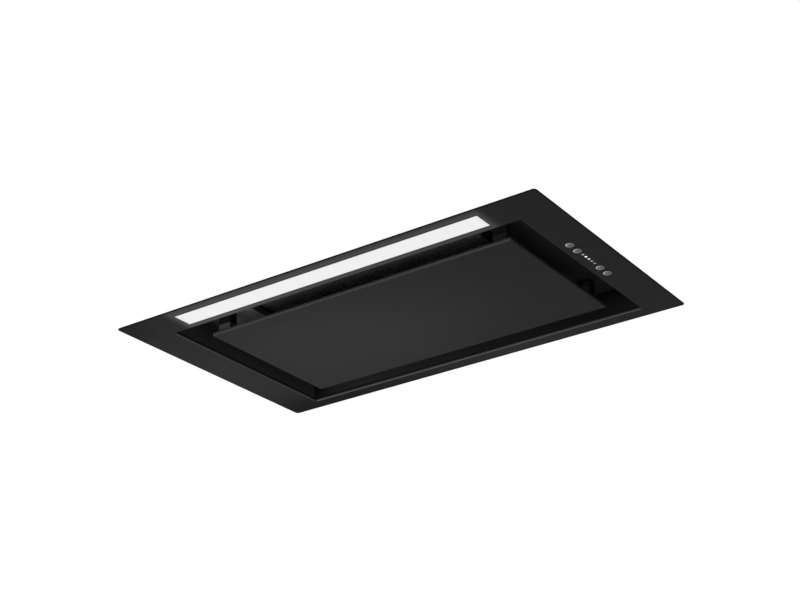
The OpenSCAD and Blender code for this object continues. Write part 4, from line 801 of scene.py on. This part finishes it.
copper = Surface("copper_winding", Metallic=1.0)
along = copper.split(copper.place())[0]
strand = (along * (2 * math.pi / WIRE)).sine() * 0.5 + 0.5
stack = abs(along - STACK_MIDDLE) < STACK_HALF
wire = copper.mix(strand, *COPPER_TONES)
lamination = copper.mix(strand, *LAMINATION_TONES)
copper.set(Base_Color=copper.mix(stack, wire, lamination))
copper.set(Roughness=WINDING_ROUGHNESS + WINDING_RANGE * copper.noise(WINDING_CLOUD))
copper.relief(strand, WIRE_DEPTH)
print("wire of", WIRE / MM, "mm")

# %% [markdown]
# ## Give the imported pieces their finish
# The record names a material slot for every node, so one table from slots to surfaces covers nearly all. It
# is shorter than a line for each node, and a new node in a known slot needs no change here. A second table
# holds the nodes that have a coat of their own: the panel is a shade lighter than the plate, and the hinges,
# brackets and sheets behind it are painted black as well, so that the gap shows no metal.

# %% Assign the materials
SLOT_FINISH = {
    "black_steel": plate_coat, "galvanised": galvanised, "spring_steel": spring_steel,
    "filter_aluminium": filter_aluminium, "black_plastic": black_plastic, "opal_acrylic": opal,
    "white_plastic": white_plastic, "led_phosphor": phosphor, "button_metal": button_metal,
    "lens_plastic": lens_plastic, "circuit_board": board_mask, "black_rubber": black_rubber,
    "cable_sheath": cable_sheath, "motor_steel": motor_steel, "bright_steel": bright_steel,
    "copper_winding": copper, "ferrite": ferrite,
}
NODE_FINISH = {
    "suction_panel": panel_coat, "support_plate": support_coat, "panel_catch_brackets": bracket_coat,
    "panel_hinge_ears": inner_coat, "hinge_brackets": inner_coat, "filter_frame": inner_coat,
    "catch_housings": catch_coat,
}
for subpart in frame["record"]["subparts"]:
    node = nodes[subpart["node"]]
    finish = NODE_FINISH.get(node.name, SLOT_FINISH[subpart["material_slot"]])
    node.data.materials.clear()
    node.data.materials.append(finish.material)
print(len(SLOT_FINISH), "slots have their finish")

# %% [markdown]
# ## New pieces
# A few pieces have forms that are better as a mesh than as a solid: round domes, thin strands and curved
# blades. Blender's own cylinders and curves could make some of them. Rings of points, where one ring is
# joined to the next, make them all: a turned part, a flat strip and a bead along a path alike. Each new
# piece rides on the body of the piece that it replaces or sits on, so it moves with it.

# %% Build pieces from rings
X, Y, Z = (1, 0, 0), (0, 1, 0), (0, 0, 1)
# Faces that meet at less than these angles, in degrees, look like one smooth surface.
SMOOTH_TURNED, SMOOTH_PRESSED, SMOOTH_THIN = 40, 50, 30


class Piece:
    """Points and faces of a new piece, in metres."""

    def __init__(self, name):
        self.name = name
        self.points = []
        self.faces = []

    def rings(self, rings, ends="capped"):
        """Joins each ring of points to the next. The ends are capped, open, or joined to each other."""
        first = len(self.points)
        size = len(rings[0])
        count = len(rings)
        for ring in rings:
            self.points += [tuple(point) for point in ring]
        for r in range(count if ends == "joined" else count - 1):
            here = first + r * size
            there = first + (r + 1) % count * size
            for i in range(size):
                j = (i + 1) % size
                self.faces.append((here + i, here + j, there + j, there + i))
        if ends == "capped":
            last = first + (count - 1) * size
            self.faces.append(tuple(range(first + size - 1, first - 1, -1)))
            self.faces.append(tuple(range(last, last + size)))

    def turned(self, profile, centre, axis=Z, steps=48, ends="capped"):
        """A turned part: profile is (radius, place on the axis) pairs in millimetres."""
        lean = Vector(Z).rotation_difference(Vector(axis))
        angles = [2 * math.pi * step / steps for step in range(steps)]
        self.rings([
            [Vector(centre) + lean @ Vector((r * math.cos(a), r * math.sin(a), place)) * MM for a in angles]
            for r, place in profile], ends)

    def build(self, body, slot, smooth=None, replaced=()):
        """Makes the object, gives it its finish and lets it ride on the body."""
        mesh = bpy.data.meshes.new(self.name)
        mesh.from_pydata(self.points, [], self.faces)
        tidy = bmesh.new()
        tidy.from_mesh(mesh)
        bmesh.ops.recalc_face_normals(tidy, faces=tidy.faces)
        tidy.to_mesh(mesh)
        tidy.free()
        if smooth is not None:
            mesh.shade_smooth()
            mesh.set_sharp_from_angle(angle=math.radians(smooth))
        mesh.materials.append(SLOT_FINISH[slot].material)
        thing = bpy.data.objects.new(self.name, mesh)
        scene.collection.objects.link(thing)
        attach(thing, body)
        if replaced:
            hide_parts(*replaced)
        print(self.name, len(mesh.vertices), "points")


# %% [markdown]
# ## Push buttons
# Each button is a satin metal cap on a stem. Its face is nearly flat and its rim is rounded over, so the rim
# catches the light. A cylinder with a bevel would have one even radius. A turned profile, with several
# points on the rounding, can be nearly flat in the middle and tighter towards the side.

# %% Buttons
# The radii and the profile are in millimetres.
BUTTON_R, BUTTON_HEAD_R, STEM_R = 4.75, 5.85, 2.0
BUTTON_PROFILE = [
    (0.05, -2.15), (1.2, -2.14), (2.2, -2.1), (3.0, -2.03), (3.6, -1.93), (4.05, -1.79), (4.35, -1.6),
    (4.52, -1.36), (4.58, -1.1), (BUTTON_R, 0.3), (BUTTON_HEAD_R, 0.3), (BUTTON_HEAD_R, 1.5),
    (STEM_R, 1.5), (STEM_R, 8.9),
]
for name in ("light_button", "stop_button", "slower_button", "faster_button"):
    lo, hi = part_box(name)
    cap = Piece(name + "_cap")
    cap.turned(BUTTON_PROFILE, ((lo.x + hi.x) / 2, (lo.y + hi.y) / 2, 0))
    cap.build(name, "button_metal", smooth=SMOOTH_TURNED, replaced=[name])

# %% [markdown]
# Between the buttons are the ends of five light guides. Flat discs would vanish from the side. So each is a
# small rod with a rounded tip, a little proud of the plate.

# %% Indicator lenses
# The radius, the tip and the profile are in millimetres.
LENS_R, LENS_STEPS = 1.5, 24
lens_lo, lens_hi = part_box("indicator_lenses")
tip = lens_lo.z / MM
lens_profile = [
    (0.05, tip), (0.6, tip + 0.03), (1.05, tip + 0.12), (1.35, tip + 0.28), (LENS_R, tip + 0.55),
    (LENS_R, lens_hi.z / MM),
]
guides = Piece("light_guides")
for index in range(len(LENS_LIGHT)):
    centre = ((lens_lo.x + lens_hi.x) / 2, (index - MIDDLE_LENS) * LENS_PITCH, 0)
    guides.turned(lens_profile, centre, steps=LENS_STEPS)
guides.build("hood", "lens_plastic", smooth=SMOOTH_TURNED, replaced=["indicator_lenses"])

# %% [markdown]
# ## Grease filter
# The filter holds sheets of expanded aluminium. The sheet is slit and pulled, so that it opens into small
# diamonds with flat, slightly twisted strands. A flat sheet with holes drawn on it would look thin from the
# side. So each strand is a strip of its own. Two sheets lie one above the other, and the upper one is
# shifted by a quarter of a diamond.

# %% Filter mesh
DIAMOND = Vector((6.0, 3.2, 0)) * MM
STRAND_WIDTH, STRAND_THICKNESS = 0.8 * MM, 0.5 * MM
STRAND_TWIST, STRAND_TILT = 0.25, -0.5
SHEET_INSET = 1.2 * MM
LOWER_SHIFT, UPPER_SHIFT = Vector((0.5, 0.5, 0)) * MM, Vector((2.0, 1.3, 0)) * MM
mesh_lo, mesh_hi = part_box("filter_mesh")


def strip(piece, start, end, width, thickness, up):
    """A straight flat strip between two points, open at its ends."""
    start, end, up = Vector(start), Vector(end), Vector(up)
    side = (end - start).cross(up).normalized() * width / 2
    lift = up.normalized() * thickness / 2
    piece.rings([[p + side + lift, p - side + lift, p - side - lift, p + side - lift]
                 for p in (start, end)], "open")


def diamond_sheet(piece, z, shift):
    """One sheet of expanded metal: two strands, to the left and to the right, from each knot."""
    columns = int((mesh_hi.x - mesh_lo.x) / DIAMOND.x) - 1
    rows = int((mesh_hi.y - mesh_lo.y) / DIAMOND.y) - 1
    corner = Vector((mesh_lo.x, mesh_lo.y, z)) + shift
    for row in range(2 * rows):
        for column in range(columns):
            a = corner + Vector(((column + row % 2 / 2) * DIAMOND.x, row / 2 * DIAMOND.y, 0))
            for lean in (-1, 1):
                b = a + Vector((lean * DIAMOND.x, DIAMOND.y, 0)) / 2
                if mesh_lo.x < b.x < mesh_hi.x:
                    up = (STRAND_TWIST * lean, STRAND_TILT, 1)
                    strip(piece, a, b, STRAND_WIDTH, STRAND_THICKNESS, up)


mesh_sheets = Piece("filter_mesh_sheets")
diamond_sheet(mesh_sheets, mesh_lo.z + SHEET_INSET, LOWER_SHIFT)
diamond_sheet(mesh_sheets, mesh_hi.z - SHEET_INSET, UPPER_SHIFT)
mesh_sheets.build("hood", "filter_aluminium", replaced=["filter_mesh"])

# %% [markdown]
# ## Impeller
# A blower wheel with forward-curved blades moves much air at a low speed, so it is quiet. The blades are
# thin and hollow towards the turning side. Two hoops hold their ends, and a dished disc carries them. An
# array of one blade would do as well, but a loop shows how the angle of each one is found.

# %% Blower wheel
BLADES, BLADE_STEPS, WHEEL_STEPS = 32, 6, 96
# Curl and thickness are angles round the axis, in radians. The radii and the lengths are in millimetres.
BLADE_CURL, BLADE_THICKNESS = 0.16, 0.013
BLADE_INSET, BLADE_DEPTH = 9.5, 9
HOOP_WIDTH, HOOP_DEPTH = 2.5, 8
SHAFT_R, HUB_R, DISC_HALF = 4.01, 9, 1.2

wheel_lo, wheel_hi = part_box("impeller")
wheel_centre = Vector((0, (wheel_lo.y + wheel_hi.y) / 2, (wheel_lo.z + wheel_hi.z) / 2))
wheel_r = (wheel_hi.z - wheel_lo.z) / 2 / MM
wheel_half = wheel_hi.x / MM
disc_r, hoop_r = wheel_r - 1, wheel_r - HOOP_DEPTH
wheel = Piece("impeller_wheel")
for side in (-1, 1):
    outer, inner = side * wheel_half, side * (wheel_half - HOOP_WIDTH)
    hoop = [(wheel_r, outer), (wheel_r, inner), (hoop_r, inner), (hoop_r, outer)]
    wheel.turned(hoop, wheel_centre, X, WHEEL_STEPS, "joined")
disc = [
    (SHAFT_R, -12), (HUB_R, -12), (HUB_R, -4), (14, -2), (30, -DISC_HALF), (disc_r, -DISC_HALF),
    (disc_r, DISC_HALF), (30, DISC_HALF), (14, 1.6), (HUB_R, 2), (SHAFT_R, 2),
]
wheel.turned(disc, wheel_centre, X, WHEEL_STEPS, "joined")
for blade in range(BLADES):
    start = 2 * math.pi * blade / BLADES
    edge = []
    for step in range(BLADE_STEPS + 1):
        share = step / BLADE_STEPS
        radius = (wheel_r - BLADE_INSET + BLADE_DEPTH * share) * MM
        edge.append((radius, start + BLADE_CURL * share ** 2))
    section = edge + [(r, a + BLADE_THICKNESS) for r, a in reversed(edge)]
    wheel.rings([
        [wheel_centre + Vector((x, r * math.sin(a), r * math.cos(a))) for r, a in section]
        for x in (-wheel_half * MM, wheel_half * MM)])
wheel.build("fan", "black_plastic", smooth=SMOOTH_THIN, replaced=["impeller"])

# %% [markdown]
# ## Pressed beads
# Thin flat sheet booms like a drum beside a blower. So the press rolls shallow beads into the walls, which
# make them stiffer. Relief in the material could fake them, but it would leave the outline flat. A bead is
# a low arch that follows a path on the sheet, and the path here is a rounded rectangle. A curve with a bevel
# would give a full tube, half of it inside the wall. So two functions make the path and the arch over it.

# %% Paths and arches
# The radius of a path's corners, in millimetres.
BEAD_CORNER = 14
BEAD_SUNK = 0.2 * MM
CORNER_STEPS, ARCH_STEPS = 6, 8


def rounded_loop(centre, half_u, half_v, u, v):
    """Points of a rounded rectangle, in millimetres, round a centre in the plane of u and v."""
    points = []
    for quarter, (su, sv) in enumerate(((1, 1), (-1, 1), (-1, -1), (1, -1))):
        for step in range(CORNER_STEPS + 1):
            angle = math.pi / 2 * (quarter + step / CORNER_STEPS)
            along_u = su * (half_u - BEAD_CORNER) + BEAD_CORNER * math.cos(angle)
            along_v = sv * (half_v - BEAD_CORNER) + BEAD_CORNER * math.sin(angle)
            points.append(Vector(centre) + (Vector(u) * along_u + Vector(v) * along_v) * MM)
    return points


def bead(piece, path, normal, width, height, ends="joined"):
    """A low arch along a path of points on the sheet, sunk a little so that it leaves no gap."""
    normal = Vector(normal)
    arch = [math.pi * step / ARCH_STEPS for step in range(ARCH_STEPS + 1)]
    rings = []
    for index, point in enumerate(path):
        before = path[index - 1] if index or ends == "joined" else point
        after = path[(index + 1) % len(path)] if index + 1 < len(path) or ends == "joined" else point
        side = normal.cross(after - before).normalized()
        rings.append([
            point + side * (width / 2 * math.cos(a)) + normal * (height * math.sin(a) - BEAD_SUNK)
            for a in arch])
    piece.rings(rings, ends)


print(4 * (CORNER_STEPS + 1), "points on a path and", ARCH_STEPS + 1, "on an arch")

# %% [markdown]
# The beads stand 1.2 mm proud of the walls. The face plate and the outlet reach further, so the hood's
# overall size stays the same. There is one on each wall of the motor box, on the lid and on the casing's
# roof. The casing has one on its front and back, and two on each side, clear of the fixing springs.

# %% Beads on the sheet metal
BEAD_WIDTH, BEAD_HEIGHT = 7 * MM, 1.4 * MM
BOX_FOOT, ROOF_T = 10 * MM, 1 * MM
# Half the length and half the height of each loop, in millimetres.
BOX_FRONT_BEAD, BOX_SIDE_BEAD, LID_BEAD = (130, 60), (100, 48), (130, 28)
CASE_FRONT_BEAD, CASE_SIDE_BEAD, ROOF_BEAD = (205, 15), (42, 15), (20, 115)
BOX_SIDE_Z, CASE_FRONT_Z, CASE_SIDE_Z = 200 * MM, 50 * MM, 55 * MM
CASE_SIDE_Y, LID_Y, ROOF_X = 78 * MM, -86 * MM, -211 * MM

box_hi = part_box("motor_box")[1]
case_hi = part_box("lower_casing")[1]
lid_lo, lid_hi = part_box("motor_box_lid")
wall_x, wall_y = box_hi.x - BOX_FOOT, box_hi.y - BOX_FOOT
box_middle_z = (case_hi.z + lid_lo.z) / 2

loops = []
for side in (-1, 1):
    front, flank = (0, side, 0), (side, 0, 0)
    loops += [
        ((0, side * wall_y, box_middle_z), *BOX_FRONT_BEAD, X, Z, front),
        ((side * wall_x, 0, BOX_SIDE_Z), *BOX_SIDE_BEAD, Y, Z, flank),
        ((0, side * case_hi.y, CASE_FRONT_Z), *CASE_FRONT_BEAD, X, Z, front),
        ((side * case_hi.x, -CASE_SIDE_Y, CASE_SIDE_Z), *CASE_SIDE_BEAD, Y, Z, flank),
        ((side * case_hi.x, CASE_SIDE_Y, CASE_SIDE_Z), *CASE_SIDE_BEAD, Y, Z, flank),
    ]
loops += [
    ((0, LID_Y, lid_hi.z), *LID_BEAD, X, Y, Z),
    ((ROOF_X, 0, case_hi.z + ROOF_T), *ROOF_BEAD, X, Y, Z),
]
beads = Piece("wall_beads")
for *shape, normal in loops:
    bead(beads, rounded_loop(*shape), normal, BEAD_WIDTH, BEAD_HEIGHT)
beads.build("hood", "galvanised", smooth=SMOOTH_PRESSED)

# %% [markdown]
# The walls are spot welded at their laps. A weld leaves a round dimple of about 5 mm, and a row of them has
# an even pitch. Each could be a dent cut into the sheet. A small turned disc laid on the sheet looks the
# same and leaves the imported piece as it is.

# %% Spot welds
# The profile, the pitch and the heights are in millimetres.
WELD_PROFILE = [(0.1, 0.35), (1.2, 0.3), (1.9, 0.05), (2.4, 0.3), (2.9, -0.2)]
WELD_STEPS = 20
WELD_PITCH, WELDS_EACH_WAY = 58, 3
WELD_HEIGHTS = (112, 150, 188, 226, 258)
WELD_BELOW_ROOF, WELD_FROM_CORNER = 6 * MM, 7 * MM

welds = Piece("spot_welds")
for side in (-1, 1):
    outward = (0, side, 0)
    for index in range(-WELDS_EACH_WAY, WELDS_EACH_WAY + 1):
        centre = (index * WELD_PITCH * MM, side * case_hi.y, case_hi.z - WELD_BELOW_ROOF)
        welds.turned(WELD_PROFILE, centre, outward, WELD_STEPS)
    for height in WELD_HEIGHTS:
        for end in (-1, 1):
            centre = (end * (wall_x - WELD_FROM_CORNER), side * wall_y, height * MM)
            welds.turned(WELD_PROFILE, centre, outward, WELD_STEPS)
welds.build("hood", "galvanised", smooth=SMOOTH_PRESSED)

# %% [markdown]
# The round outlet gets a stop bead, against which the duct is pushed, and a rubber lip that seals it. Both
# are closed profiles turned round the collar. A torus would be simpler, but has no lip that leans outwards.

# %% The outlet's stop and lip
# The radii and the profiles are in millimetres.
COLLAR_R, COLLAR_STEPS = 74.5, 96
SUNK_R = COLLAR_R - 0.3
STOP_PROFILE = [
    (SUNK_R, 8), (COLLAR_R + 0.9, 8.6), (COLLAR_R + 1.3, 9.5), (COLLAR_R + 0.9, 10.4), (SUNK_R, 11),
]
LIP_PROFILE = [
    (SUNK_R, 36), (COLLAR_R + 0.4, 36), (COLLAR_R + 1.6, 33.5), (COLLAR_R + 1.2, 33.2),
    (COLLAR_R + 0.4, 35), (COLLAR_R + 0.3, 30), (SUNK_R, 30),
]
collar_lo, collar_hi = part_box("outlet_collar")
collar_foot = ((collar_lo.x + collar_hi.x) / 2, (collar_lo.y + collar_hi.y) / 2, lid_hi.z)
stop = Piece("duct_stop")
stop.turned(STOP_PROFILE, collar_foot, steps=COLLAR_STEPS, ends="joined")
stop.build("hood", "black_plastic", smooth=SMOOTH_PRESSED)
seal = Piece("duct_seal")
seal.turned(LIP_PROFILE, collar_foot, steps=COLLAR_STEPS, ends="joined")
seal.build("hood", "black_rubber", smooth=SMOOTH_THIN)

# %% [markdown]
# The cover of the electronics box has cooling ribs, and the driver of the lamp has a ribbed back. They are
# the same arches as the beads, on straight paths and with closed ends, so the same function makes them.

# %% Ribs on the plastic boxes
def ribs(name, node, slot, count, pitch, inset, width, height):
    """Straight arches across the top of a box, with sizes in millimetres."""
    lo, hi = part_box(node)
    piece = Piece(name)
    for index in range(count):
        y = (lo.y + hi.y) / 2 + (index - (count - 1) / 2) * pitch * MM
        path = [Vector((x, y, hi.z)) for x in (lo.x + inset * MM, hi.x - inset * MM)]
        bead(piece, path, Z, width * MM, height * MM, "capped")
    piece.build("hood", slot, smooth=SMOOTH_PRESSED)


ribs("cover_ribs", "electronics_cover", "black_plastic", count=11, pitch=9, inset=10, width=3.5, height=1.4)
ribs("driver_ribs", "led_driver", "white_plastic", count=4, pitch=6, inset=9, width=2.5, height=1.0)
